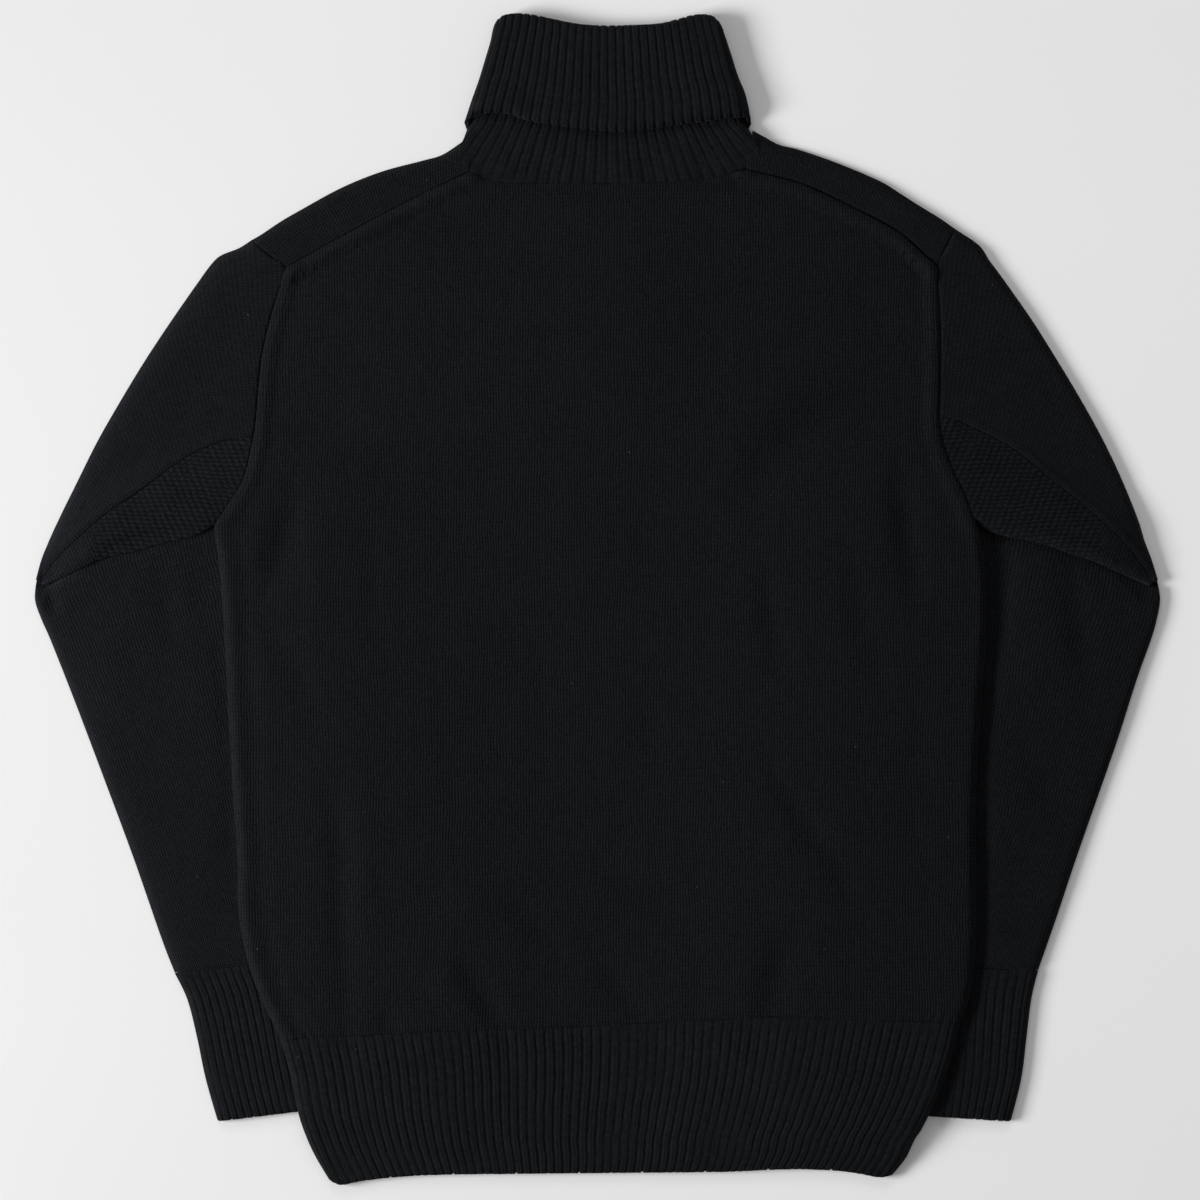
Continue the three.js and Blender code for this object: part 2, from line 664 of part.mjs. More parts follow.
// A flattened tube as a closed ring of columns, with ribs as furrows on its upper face.
function tube(plan, rows, options) {
  const {
    ribs = 0, depth = 0, base = () => 0, height = TUBE, shares = even(2 * ribs),
    under = even(8), hollow = () => GAP,
  } = options;
  const half = height / 2;
  const ring = (along, inside) => {
    const whole = (face) => {
      const a = plan(along, 0, face);
      const b = plan(along, 1, face);
      return Math.hypot(b.x - a.x, b.y - a.y);
    };
    const point = (across, face, up) => {
      const { x, y } = plan(along, across, face);
      return [x, y, base(x, y) + half + face * up];
    };
    if (inside) {
      const near = WALL / whole(1);
      const up = hollow(along) / 2;
      const few = [near, ...within(under), 1 - near];
      return [
        ...few.map((share) => point(share, 1, up)),
        ...few.reverse().map((share) => point(share, -1, up)),
      ];
    }
    const length = whole(1);
    const first = ROLL / length;
    const top = shares.slice(1, -1);
    const upper = top.map((share) => {
      const distance = Math.min(share, 1 - share) * length;
      const furrow = ribs ? depth * (0.5 + 0.5 * Math.cos(2 * Math.PI * ribs * share)) : 0;
      return point(share, 1, Math.max(swell(distance, ROLL, half) - furrow, hollow(along) / 2 + 0.6));
    });
    const lower = [first, ...within(under), 1 - first].reverse();
    const near = (step, face) => point(step * first, face, swell(step * ROLL, ROLL, half));
    const far = (step, face) => point(1 - step * first, face, swell(step * ROLL, ROLL, half));
    return [
      near(0, 1), near(EDGE_STEP, 1), ...upper, far(EDGE_STEP, 1), far(0, 1),
      far(EDGE_STEP, -1), far(SHOULDER_STEP, -1),
      ...lower.map((share) => point(share, -1, half)),
      near(SHOULDER_STEP, -1), near(EDGE_STEP, -1),
    ];
  };
  const outer = rows.map((along) => ring(along, false));
  const inner = rows.map((along) => ring(along, true));
  return wall(outer, inner, true);
}

// The lower sleeve, from under the fold at the elbow to the cuff.
function lowerSleeve(side) {
  const outer = curveOf(side.forearmOuter);
  const inner = lineOf(side.forearmInner);
  const top = lineOf(side.forearmTop);
  const plan = (along, across) => {
    const chord = outer(0).clone().lerp(inner(0), across);
    const bow = top(across).sub(chord).multiplyScalar((1 - along) ** 3);
    const point = outer(along).clone().lerp(inner(along), across).add(bow);
    return { x: point.x, y: point.y };
  };
  const shares = vertexShares(side.forearmTop);
  return tube(plan, even(9), { shares, under: shares });
}

function cuff(side) {
  const outer = curveOf(side.cuffOuter);
  const inner = lineOf(side.cuffInner);
  const plan = (along, across) => {
    const point = outer(along).clone().lerp(inner(along), across);
    return { x: point.x, y: point.y - JOINT_GAP * (1 - along) };
  };
  return tube(plan, even(4), { ribs: CUFF_RIBS, depth: RIB_DEPTH });
}

// The collar's stand, from the neckline up to the fold at its top.
function collarStand() {
  const back = lineOf(BACK_NECK);
  const front = curveOf(FRONT_NECK);
  const left = curveOf(ROLL_LEFT);
  const right = curveOf(ROLL_RIGHT);
  const inset = (point, sign) => new THREE.Vector2(point.x + sign * STAND_INSET, point.y);
  const plan = (along, across, face) => {
    const start = face > 0 ? back(across) : front(across);
    const rollStart = inset(left(0), 1).lerp(inset(right(0), -1), across);
    const atRoll = 0.45;
    if (along <= atRoll) {
      const point = start.clone().lerp(rollStart, along / atRoll);
      return { x: point.x, y: point.y };
    }
    const up = (along - atRoll) / (1 - atRoll);
    const a = inset(left(up), 1);
    const b = inset(right(up), -1);
    const y = lerp(rollStart.y, STAND_TOP, up);
    return { x: lerp(a.x, b.x, across), y };
  };
  const base = (x, y) => {
    return LAYER * ramp((y - STAND_RISE_FROM) / (STAND_RISE_TO - STAND_RISE_FROM));
  };
  const rows = [0, 0.15, 0.3, 0.45, 0.7, 1];
  return tube(plan, rows, { ribs: COLLAR_RIBS, depth: COLLAR_RIB_DEPTH, base, under: even(16) });
}

// The turned-down roll, a wider tube over the stand, closed in to a slot at the fold.
function collarRoll() {
  const left = curveOf(ROLL_LEFT);
  const right = curveOf(ROLL_RIGHT);
  const bend = (table, share) => {
    const first = table[0];
    const last = table[table.length - 1];
    return read(table, 'x', 'y', lerp(first.x, last.x, share)) - lerp(first.y, last.y, share);
  };
  const plan = (along, across, face) => {
    const a = left(along);
    const b = right(along);
    const lower = face > 0 ? bend(ROLL_EDGE, across) : 0;
    const y = lerp(a.y, b.y, across) + (1 - along) * lower + along * bend(ROLL_TOP, across);
    return { x: lerp(a.x, b.x, across), y };
  };
  const closedFrom = 0.9;
  const hollow = (along) => (along > closedFrom ? GAP : TUBE + 2 * GAP);
  const rows = [0, 0.2, 0.4, 0.6, 0.78, 0.89, 0.91, 1];
  return tube(plan, rows, {
    ribs: COLLAR_RIBS, depth: COLLAR_RIB_DEPTH, height: ROLLED_TUBE, hollow,
  });
}

// Colours of the wool: plain knit, ribs, and the reversed stitch of the gussets
const PLAIN = { color: 0x1a1b1e, roughness: 0.95, metalness: 0 };
const RIB = { color: 0x17181b, roughness: 0.95, metalness: 0 };
const REVERSED = { color: 0x1c1d20, roughness: 0.97, metalness: 0 };

const sweater = new THREE.Group();
sweater.name = 'sweater';

function add(name, geometry, look) {
  const mesh = new THREE.Mesh(geometry, new THREE.MeshStandardMaterial(look));
  mesh.name = name;
  sweater.add(mesh);
}

add('back_panel', backPanel(), PLAIN);
add('front_panel', frontPanel(), PLAIN);
add('hem_back', hem(true), RIB);
add('hem_front', hem(false), RIB);
add('collar_stand', collarStand(), RIB);
add('collar_roll', collarRoll(), RIB);
for (const side of SIDES) {
  add(`shoulder_${side.name}`, shoulder(side), PLAIN);
  add(`sleeve_${side.name}_upper`, upperSleeve(side), PLAIN);
  add(`gusset_${side.name}`, gusset(side), REVERSED);
  add(`sleeve_${side.name}_lower`, lowerSleeve(side), PLAIN);
  add(`cuff_${side.name}`, cuff(side), RIB);
}

export default sweater;
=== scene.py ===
"""A black chunky roll-neck sweater that lies flat on its front, seen from straight above."""

import math

import bpy
import numpy as np
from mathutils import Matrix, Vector


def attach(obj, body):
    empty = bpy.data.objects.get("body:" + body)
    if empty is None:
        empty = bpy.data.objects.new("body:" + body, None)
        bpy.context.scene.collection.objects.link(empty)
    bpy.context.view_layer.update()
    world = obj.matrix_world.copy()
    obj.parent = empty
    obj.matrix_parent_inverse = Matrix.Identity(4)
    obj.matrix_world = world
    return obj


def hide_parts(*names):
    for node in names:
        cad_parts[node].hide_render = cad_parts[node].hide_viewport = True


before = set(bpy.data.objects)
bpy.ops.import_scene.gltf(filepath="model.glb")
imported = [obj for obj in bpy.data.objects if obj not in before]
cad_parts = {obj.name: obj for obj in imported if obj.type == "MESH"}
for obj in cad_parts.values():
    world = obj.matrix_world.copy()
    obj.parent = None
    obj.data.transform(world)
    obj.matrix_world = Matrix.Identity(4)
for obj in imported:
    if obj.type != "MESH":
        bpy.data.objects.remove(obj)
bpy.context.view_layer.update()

MM = 0.001
TURN = 2 * math.pi

# The cloth, in millimetres, as in the solids
WALL = 2.7
GAP = 0.3
LAYER = WALL + GAP
TUBE = 2 * WALL + GAP
LIFT = TUBE + GAP
ROLL = 4.0
SEAM_ROLL = 1.6
LIP = 0.8
JOINT_GAP = 1.2 * GAP

# Stitches and ribs
WALE = 4.0
COURSE = 2.65
SLEEVE_WALE = 3.65
HEM_RIBS = 72
CUFF_RIBS = 20
COLLAR_RIBS = 30
RIB_COLUMNS = 10
RIB_DEPTH = 0.5
COLLAR_RIB_DEPTH = 0.54
STAND_RIB_DEPTH = 0.8 * COLLAR_RIB_DEPTH

# Lengths of the ribbed pieces, the lower sleeves and the shoulders, and a lower sleeve's wales
HEM_LENGTH = 106
CUFF_LENGTH = 104
STAND_LENGTH = 110
ROLL_HEIGHT = 72
LOWER_LENGTH = 350
LOWER_WALES = 38
SHOULDER_LENGTH = 160

# The cloth's upper faces round off over this far at a free edge, and the edge sinks by this much
EDGE_ROUND = 9.0
SAG = 1.9
SAG_REACH = 3.2

# How softly the body comes down beside, above and below the sleeve under it
SLOPE_IN = 46
BACK_SLOPE = 170
SLOPE_UP = 42
SLOPE_DOWN = 38
FOLD_RISE = 40
CLEAR = 8

# Outlines seen from above: each pair is an (x, y) point of the line, in millimetres. A crease is
# a soft trough: its line, half width and depth (a ridge is negative).
LEFT = {
    "name": "left",
    "sign": -1,
    "sleeve_top": [(-243, 252.5), (-230, 241)],
    "upper_outer": [
        (-243, 252.5), (-252, 246.8), (-264, 242), (-270.5, 236.5), (-280, 223.7), (-299.5, 195.7),
        (-318, 167.7), (-335, 139.7), (-351, 111.7), (-365, 83.7), (-378.5, 55.7), (-385, 41.7),
        (-390.4, 27.7), (-394, 14),
    ],
    "armhole": [
        (-219, 232), (-228, 203), (-236, 168), (-240, 126), (-243, 105), (-248, 84),
        (-259, 66), (-268, 52),
    ],
    "fold": [
        (-268, 52), (-282, 45), (-306, 39), (-328, 33), (-344, 29.5), (-357, 24), (-370, 17.9),
        (-386.6, 9.8),
    ],
    "gusset": [(0, 0.685), (0.25, 0.63), (0.5, 0.63), (0.75, 0.59), (1, 0.45)],
    "hook": [(-372, 19.5), (-380, 16), (-384, 10), (-383.5, 2), (-382, -5)],
    "pressed": [(-272, 44), (-267, 0), (-262, -70), (-258, -140), (-255, -212)],
    "press": 0.7,
    "press_half": 6.5,
    "round": 18,
    "fold_rise": 0.9,
    # Painted light under the fold (a negative amount is painted shadow) and its blur, painted light on the
    # fold, and a painted highlight at the outer edges
    "under_tint": (0.12, 5),
    "over_tint": (0.3, 4),
    "edge_tint": 0.16,
    "seam_cut": 0.3,
    "under_fold": [(-266, 57), (-282, 55), (-300, 52.5), (-322, 47), (-340, 40), (-352, 33)],
    "forearm_top": [
        (-394, 14), (-391, 24), (-382, 29), (-370, 32), (-357, 36), (-340, 43), (-310, 56), (-268, 70),
        (-232, 80),
    ],
    "forearm_outer": [
        (-394, 14), (-395.2, 0), (-390.5, -14.3), (-384.3, -28.3), (-367.8, -70), (-346.6, -126),
        (-325.8, -182), (-306.3, -238), (-297, -262),
    ],
    "forearm_inner": [(-232, 80), (-180, -250)],
    "cuff_outer": [(-297, -262), (-288, -281), (-281.2, -308), (-275.4, -336), (-267, -366)],
    "cuff_inner": [(-180, -250), (-163, -353)],
    "body_side": [
        (-268, 52), (-263, 0), (-259, -70), (-255, -140), (-252, -182), (-252, -212), (-248, -240),
        (-240, -269), (-222, -308),
    ],
    "hem_side": [
        (-222, -308), (-215.5, -331), (-210, -358), (-203.5, -378), (-197.5, -392), (-189.5, -406.5),
    ],
    "shoulder_seam": [(-219, 232), (-187, 250), (-152, 269), (-117, 287), (-90.3, 299.7)],
    "shoulder_fold": [
        (-243, 252.5), (-236.5, 256.2), (-222.6, 265.5), (-208.3, 273.8), (-180, 289.2), (-152.3, 300.4),
        (-124, 308), (-110, 312), (-98, 319.5), (-88, 327),
    ],
    "creases": [
        ([(-306, 24), (-302, -10), (-298, -46)], 9, 1.0),
        ([(-284, 30), (-279, -10), (-276, -50)], 7, 0.7),
        ([(-342, 0), (-345, -40), (-336, -90)], 13, -0.7),
        ([(-262, -150), (-266, -200), (-262, -245)], 7, 0.5),
        ([(-330, -100), (-312, -150)], 14, 0.5),
        ([(-262, 200), (-284, 160), (-300, 120)], 16, 0.5),
        ([(-306, 96), (-330, 80), (-352, 58)], 9, -0.7),
    ],
}
RIGHT = {
    "name": "right",
    "sign": 1,
    "sleeve_top": [(251, 260.5), (244, 246)],
    "upper_outer": [
        (251, 260.5), (254.5, 258.2), (268.3, 248.6), (275.4, 238.1), (285.8, 224), (305.4, 196),
        (323, 168), (339.8, 140), (355.2, 112), (368.5, 84), (379.6, 56), (383.9, 42), (388.9, 28),
        (393, 14),
    ],
    "armhole": [
        (238, 233), (240, 196), (240, 154), (240, 119), (247, 94), (257, 73), (264, 54),
    ],
    "fold": [
        (264, 54), (280, 46), (308, 40), (327, 33.5), (344, 28), (357, 22.7), (370, 16.8), (386.6, 9.4),
    ],
    "gusset": [(0, 0.625), (0.25, 0.58), (0.5, 0.585), (0.75, 0.56), (1, 0.45)],
    "hook": [(372, 17.5), (380, 12), (383.5, 4)],
    "pressed": [
        (281, 50), (284, 22), (281, -10), (277, -45), (271, -95), (268, -130), (270, -190), (269, -240),
        (264, -278), (253, -308), (242, -350),
    ],
    "press": 2.4,
    "press_half": 5.5,
    "round": 9,
    "fold_rise": 0.5,
    # Painted light under the fold (a negative amount is painted shadow) and its blur, painted light on the
    # fold, and a painted highlight at the outer edges
    "under_tint": (-0.22, 8),
    "over_tint": (0.08, 4),
    "edge_tint": 0.02,
    "seam_cut": 1.5,
    "under_fold": [(266, 56), (282, 52), (308, 45), (327, 38), (344, 32), (356, 26)],
    "forearm_top": [
        (393, 14), (390, 24), (381, 28.5), (370, 31), (357, 35), (340, 42), (310, 56), (264, 72), (216, 82),
    ],
    "forearm_outer": [
        (393, 14), (395.2, 0), (392.8, -14.3), (388.8, -28.3), (378.9, -56), (365.5, -98), (350.9, -140),
        (336.2, -182), (322.2, -224), (309.6, -260),
    ],
    "forearm_inner": [(216, 82), (178, -256)],
    "cuff_outer": [(309.6, -260), (304.8, -280), (301.3, -308), (297.8, -336), (290.5, -366)],
    "cuff_inner": [(178, -256), (185, -359)],
    "body_side": [
        (264, 54), (271, 28), (273, -14), (269, -70), (265, -140), (265, -182), (265, -240), (261, -276),
        (254, -296),
    ],
    "hem_side": [
        (254, -296), (248, -319), (240.5, -343), (227, -371), (222.4, -378), (216.4, -392), (208, -403.5),
    ],
    "shoulder_seam": [(238, 233), (212, 257), (177, 276), (142, 292), (104.3, 301.7)],
    "shoulder_fold": [
        (251, 260.5), (240.3, 268), (226.2, 276.6), (212, 285.7), (198.2, 294), (170, 306), (142, 315.8),
        (128, 319.3), (118, 324.6), (109, 329.5),
    ],
    "creases": [
        ([(328, 28), (337, -18), (343, -58)], 8, 1.7),
        ([(298, -100), (308, -122), (316, -150)], 11, 1.1),
        ([(310, 10), (304, -40), (300, -80)], 12, -0.6),
        ([(300, 170), (312, 130), (330, 100)], 16, 0.6),
        ([(270, 170), (278, 140)], 12, 0.5),
        ([(300, -170), (292, -215)], 10, 0.6),
    ],
}
SIDES = [LEFT, RIGHT]

# Lines across the body and round the neck, from left to right
HEM_JOINT = [(-222, -308), (-103, -302), (3, -299), (124, -292), (170, -293), (254, -296)]
HEM_EDGE = [
    (-189.5, -406.5), (-180, -410.4), (-166, -407.6), (-138, -404.6), (-110, -403.2), (-60, -402.6),
    (2, -402), (86, -401.2), (114, -400), (142, -399.3), (170, -400.6), (184, -402.6), (198, -405),
    (208, -403.5),
]
BACK_NECK = [
    (-94, 323), (-98, 311), (-90, 300), (-68, 292.5), (2, 291.5), (72, 294), (104, 302), (114, 313),
    (109, 325),
]
FRONT_NECK = [(-94, 323), (-86, 290), (-58, 258), (2, 244), (66, 258), (98, 290), (109, 325)]
BACK_TOP = [
    (-219, 232), (-187, 250), (-152, 269), (-117, 287), (-90.3, 299.3), (-68, 292.1), (2, 291.1),
    (72, 293.6), (104.3, 301.3), (142, 292), (177, 276), (212, 257), (238, 233),
]
FRONT_TOP = [
    (-219, 232), (-216, 258), (-198, 273.6), (-154, 292.6), (-114, 306.6), (-96, 314), (-94, 300),
    (-87, 286), (-74, 270), (-58, 256.5), (-30, 247), (2, 242.8), (35, 247), (66, 256.5), (84, 271),
    (97, 287), (107, 306), (113, 317), (121, 314.6), (159, 303.6), (187, 292.6), (219, 273.6), (235, 260),
    (238, 233),
]
ROLL_EDGE = [
    (-92.5, 335), (-82, 341), (-61, 341), (-47, 336), (2, 329), (30, 329), (100, 338), (107.5, 333),
]
ROLL_UNDER = [
    (-93.5, 334), (-91, 329.5), (-87, 327), (-82, 326.6), (-77, 329), (-68, 332), (0, 333), (92, 332),
    (99, 329.8), (103.5, 329.2), (107.8, 333),
]
ROLL_TOP = [
    (-73.8, 399), (-71, 405), (-66, 408.8), (-58, 410.2), (-50, 410), (-40, 408.4), (-26, 405.2),
    (-12, 402.6), (2, 401.8), (16, 401.8), (30, 402.2), (44, 403.2), (58, 406.8), (66, 409), (74, 409.6),
    (81, 408.2), (86, 403.6), (88.6, 398),
]
ROLL_LEFT = [(-93.5, 334), (-88.5, 349.7), (-83.5, 363.7), (-79.2, 377.7), (-75.5, 390), (-73.8, 399)]
ROLL_RIGHT = [(107.8, 333), (104.4, 349.7), (99, 363.7), (94.8, 377.7), (91, 390), (88.6, 398)]
STAND_INSET = 3.6
STAND_RISE_FROM = 309
STAND_RISE_TO = 331
STAND_TOP = 390
ROLLED_TUBE = 2 * TUBE + GAP
UNDERARM = 0.62

# Share of the body's height over which its side edge turns from free to sewn
FREE_SOFT = 0.05
BACK_SOFT = 0.04
FRONT_SOFT = 0.02

# The armhole is drawn in less below CUT_FROM: a share of it is left
CUT_LEFT = 0.3
CUT_FROM = 90
CUT_OVER = 50

# Creases of the back
BODY_CREASES = [
    ([(-212, 72), (-219, 48), (-228, 18)], 9, 2.3),
    ([(-228, 20), (-236, 0), (-228, -25), (-208, -58), (-198, -95)], 8, 0.9),
    ([(-200, 60), (-196, 20), (-198, -20)], 10, -0.7),
    ([(-160, 52), (-157, 0), (-160, -36)], 7, 0.7),
    ([(-190, -130), (-182, -170), (-181, -215), (-178, -255), (-176, -304)], 7, 1.3),
    ([(-168, -120), (-164, -180), (-166, -230)], 8, -0.6),
    ([(213, 98), (214, 62), (219, 34), (222, 2)], 8, 2.2),
    ([(196, 146), (166, 137), (140, 122), (122, 97), (112, 72)], 13, 1.8),
    ([(122, 97), (102, 84), (84, 88)], 9, 1.0),
    ([(116, 20), (122, -18), (130, -52)], 7, 1.3),
    ([(160, 56), (176, 20), (188, -30), (200, -64)], 8, 0.9),
    ([(121, -118), (134, -140), (150, -165), (167, -185), (172, -208)], 7, 1.6),
    ([(6, -190), (22, -203), (42, -212), (60, -236)], 8, 1.0),
    ([(-70, -206), (-52, -222), (-30, -242)], 7, 1.1),
    ([(-94, -254), (-80, -278), (-68, -302)], 7, 1.7),
    ([(-112, -258), (-100, -284)], 8, -0.8),
    ([(0, -250), (14, -274), (36, -302)], 8, 1.0),
    ([(131, -236), (125, -264), (117, -298)], 10, 2.2),
    ([(64, -258), (78, -280)], 10, 0.9),
    ([(-146, -282), (-150, -304)], 8, 1.0),
    ([(-98, -208), (-88, -222)], 9, -0.9),
    ([(-150, 270), (-110, 262), (-60, 254)], 7, 0.8),
    ([(-134, 258), (-90, 240), (-40, 236)], 10, 0.5),
    ([(-40, 10), (-46, -40), (-30, -80)], 16, 0.5),
    ([(28, 52), (34, 28)], 8, 0.6),
    ([(34, -70), (32, -110)], 8, 0.6),
    ([(60, 240), (70, 190), (56, 150)], 22, 0.7),
    ([(-6, 170), (4, 146)], 14, -0.5),
    ([(180, 230), (196, 190), (200, 160)], 14, 0.6),
    ([(-210, 96), (-196, 120), (-170, 150)], 14, 0.6),
    ([(226, -60), (222, -130), (226, -200)], 9, 0.5),
]

# Creases that run on from the body into the hem
HEM_CREASES = [
    ([(-176, -300), (-172, -350)], 7, 0.8),
    ([(-68, -300), (-60, -330)], 7, 0.8),
    ([(117, -296), (112, -330)], 9, 0.9),
    ([(36, -300), (44, -326)], 7, 0.5),
]

# Small rounds beside seams and edges: how far they reach and how deep they go
CAST_OFF = (2.6, 1.9)
JOINT_ROUND = (1.6, 0.5)
NECK_ROUND = (2.6, 1.4)
ARMHOLE_ROUND = (2.0, 1.2)
SLEEVE_SEAM_ROUND = (1.4, 0.15)
GUSSET_SEAM_ROUND = (2.0, 0.3)
SLEEVE_END_ROUND = (2.0, 1.0)
STAND_ROUND = (2.64, 1.2)
LIP_ROUND = (5.0, 3.3)
TOP_ROUND = (5.4, 5.0)
SHOULDER_END_ROUND = (1.6, 0.9)
SHOULDER_SEAM_ROUND = 2.4
SEAM_ROUND = 1.8

# Raised and pressed lines beside a seam or an edge: distance from it, half width and height
SHOULDER_LINES = [(5.2, 3.8, 1.5), (13.4, 3, -0.25)]
ARMHOLE_LINES = [(5.6, 4.4, 1.0), (2.6, 1.1, 0.16), (6.2, 1.1, 0.16), (9.8, 1.1, 0.16), (14, 4, -0.12)]
NECK_LINES = [(4.6, 2.0, 0.35), (10, 6, -0.5)]
HEM_LINES = [(9, 6, 0.6)]
SIDE_LINES = [(7, 4, 0.2), (17, 6, -0.6)]
GUSSET_LINES = [(3.4, 1.8, 0.4)]
BAND_LINES = [(4, 2.5, 0.5)]
LIP_LINES = [(6, 7, 1.9)]
UNDER_LIP_LINES = [(0, 7, -1.5)]

# Painted highlights beside the seams, painted shade below the neck and painted shadow under the collar's
# lip, in the same form
SHOULDER_PAINTED_LIGHT = [(4.6, 5.0, 0.11)]
ARMHOLE_PAINTED_LIGHT = [(4.6, 5.0, 0.099)]
NECK_PAINTED_SHADE = [(7, 6, 0.06)]
LIP_PAINTED_SHADOW = [(0, 6, 0.13)]
# Painted shade over the whole collar stand
STAND_PAINTED_SHADE = 0.02

# The decreases: distance from the shoulder seam, half width, step and height of their knots
DECREASES = (9.8, 1.9, 8.4, 0.8)

# Slow unevenness of the faces: its height, size and seed
BACK_RIPPLES = [(0.30, 150, 3), (0.16, 40, 5), (0.06, 14, 6)]
HEM_RIPPLES = [(0.25, 60, 8)]
LOWER_RIPPLES = [(0.26, 90, 11), (0.12, 35, 12)]
UPPER_RIPPLES = [(0.25, 80, 21), (0.12, 30, 22)]
GUSSET_RIPPLES = [(0.3, 40, 31)]
SHOULDER_RIPPLES = [(0.2, 40, 17)]
ROLL_RIPPLES = [(0.4, 60, 41)]
STAND_RIPPLES = [(0.3, 26, 44)]
RIPPLE_WAVES = 7
RIPPLE_SIZES = (0.7, 1.6)
RIPPLE_GAIN = 1.6

# Creases are this much softer and, on the back, deeper than their tables say. At their ends they
# keep a share of their depth. Each millimetre of depth gets painted shade of CREASE_PAINTED_SHADE.
CREASE_SOFTNESS = 1.25
BACK_CREASE_GAIN = 1.1
CREASE_ENDS = 0.3
CREASE_PAINTED_SHADE = 0.06

# How far from an edge ribs and an unevenness reach their full height, and from a joint, where
# ribs start with a share of it
RIB_FADE = 2.5
ROLL_RIB_FADE = 3
SOFT_FADE = 5
SHOULDER_FADE = 6
ROLL_FADE = 8
LIP_FADE = 12
JOINT_FADE = 7
JOINT_START = 0.3

# A rib's flank, and the dent along its crest: share of its half width, depth and half width
RIB_FLANK = 0.55
RIB_DENT = 0.2
DENT_HALF = 0.17

# The hem's ribs run on into the back: how high and how far
CROWN = 0.3
CROWN_REACH = 5

# Rows and columns of points
EDGE_STEPS = np.array([0.04, 0.15, 0.35, 0.65])
EDGE_SHARE = ROLL / 510
BODY_ROWS = np.concatenate(
    [np.linspace(0, 0.03, 12)[:-1], np.linspace(0.03, 0.9, 100)[:-1], np.linspace(0.9, 1, 62)]
)
HALF_SHARES = np.concatenate([[0], EDGE_STEPS * EDGE_SHARE, np.linspace(EDGE_SHARE, 0.06, 34)[:-1]])
BODY_SHARES = np.concatenate([HALF_SHARES, np.linspace(0.06, 0.94, 180), 1 - HALF_SHARES[::-1]])
FRONT_ROWS = np.linspace(0, 1, 110)
HEM_ROWS = np.concatenate(
    [[0, 0.004, 0.01, 0.018, 0.03], np.linspace(0.05, 0.95, 22), [0.965, 0.978, 0.988, 0.995, 1]]
)
CUFF_ROWS = np.concatenate(
    [[0, 0.006, 0.014, 0.026], np.linspace(0.05, 0.95, 20), [0.968, 0.982, 0.992, 1]]
)
AT_ROLL = 0.45
STAND_ROWS = np.concatenate(
    [[0, 0.008, 0.018, 0.035], np.linspace(0.06, AT_ROLL, 30), np.linspace(0.5, 1, 14)]
)
ROLL_ENDS = [0, 0.008, 0.02, 0.04, 0.065], [0.91, 0.935, 0.955, 0.972, 0.985, 0.995, 1]
ROLL_ROWS = np.concatenate([ROLL_ENDS[0], np.linspace(0.1, 0.88, 26), ROLL_ENDS[1]])
LOWER_ROWS = np.concatenate([np.linspace(0, 0.3, 60)[:-1], np.linspace(0.3, 1, 70)])
SLEEVE_ROWS = np.concatenate([np.linspace(0, 0.06, 12)[:-1], np.linspace(0.06, 1, 110)])
START = np.zeros(1)


def ramp(share):
    """Smooth step from 0 to 1."""
    t = np.clip(share, 0, 1)
    return t * t * (3 - 2 * t)


def lerp(a, b, t):
    return a + (b - a) * t


def glow(distance, half):
    """A share that fades softly with the distance."""
    return np.exp(-((distance / half) ** 2))


def at_shares(points, share):
    """Points of a dense line, read by the share of its length."""
    points = np.asarray(points, float)
    steps = np.hypot(*np.diff(points, axis=0).T)
    walked = np.concatenate([[0], np.cumsum(steps)]) / steps.sum()
    share = np.clip(share, 0, 1)
    return np.stack([np.interp(share, walked, points[:, k]) for k in (0, 1)], -1)


def line_of(table):
    return lambda share: at_shares(table, share)


def curve_of(table):
    """A smooth line through a table's points."""
    p = np.asarray(table, float)
    padded = np.vstack([p[:1], p, p[-1:]])
    dense = []
    t = np.linspace(0, 1, 24, endpoint=False)[:, None]
    for i in range(len(p) - 1):
        p0, p1, p2, p3 = padded[i : i + 4]
        v0, v1 = (p2 - p0) / 2, (p3 - p1) / 2
        cubic, square = 2 * p1 - 2 * p2 + v0 + v1, -3 * p1 + 3 * p2 - 2 * v0 - v1
        dense.append(cubic * t**3 + square * t**2 + v0 * t + p1)
    return line_of(np.vstack(dense + [p[-1:]]))


def smooth_rows(table, count=160):
    """A table's smooth line as a dense table."""
    return curve_of(table)(np.linspace(0, 1, count))


def read(table, value, column=0):
    """The other column of a table at a value of its rising or falling column."""
    t = np.asarray(table, float)
    t = t[np.argsort(t[:, column], kind="stable")]
    return np.interp(value, t[:, column], t[:, 1 - column])


def lift(x, y, slope_in=SLOPE_IN):
    """How far a sleeve holds up what lies over it."""
    most = np.zeros(np.broadcast(x, y).shape)
    for side in SIDES:
        inner = [side["forearm_inner"][0], side["cuff_inner"][0], side["cuff_inner"][1]]
        beside = side["sign"] * (read(inner, y, 1) - x)
        above = y - read(side["forearm_top"], x)
        below = read([side["cuff_outer"][-1], side["cuff_inner"][1]], x) - y
        share = ramp((abs(side["forearm_top"][0][0]) - np.abs(x)) / FOLD_RISE)
        for distance, slope in ((beside, slope_in), (above, SLOPE_UP), (below, SLOPE_DOWN)):
            share = share * (1 - ramp((distance - CLEAR) / slope))
        most = np.maximum(most, share)
    return LIFT * most


def quarter(distance, radius):
    """Height of a quarter round, from 0 at an edge to 1 at its radius."""
    d = np.clip(distance / radius, 0, 1)
    return np.sqrt(np.clip(1 - (1 - d) ** 2, 0, 1))


def swell(distance, roll=ROLL, half=TUBE / 2):
    """Half the height of a flattened tube at a distance from its rolled edge."""
    return half * quarter(distance, roll)


def round_off(distance, radius, depth):
    """How far a face comes down beside an edge with a small round."""
    return depth * (1 - quarter(distance, radius))


def sink(distance, share=1.0):
    """How far a soft rolled edge sinks toward what lies under it."""
    return SAG * share * glow(distance, SAG_REACH)


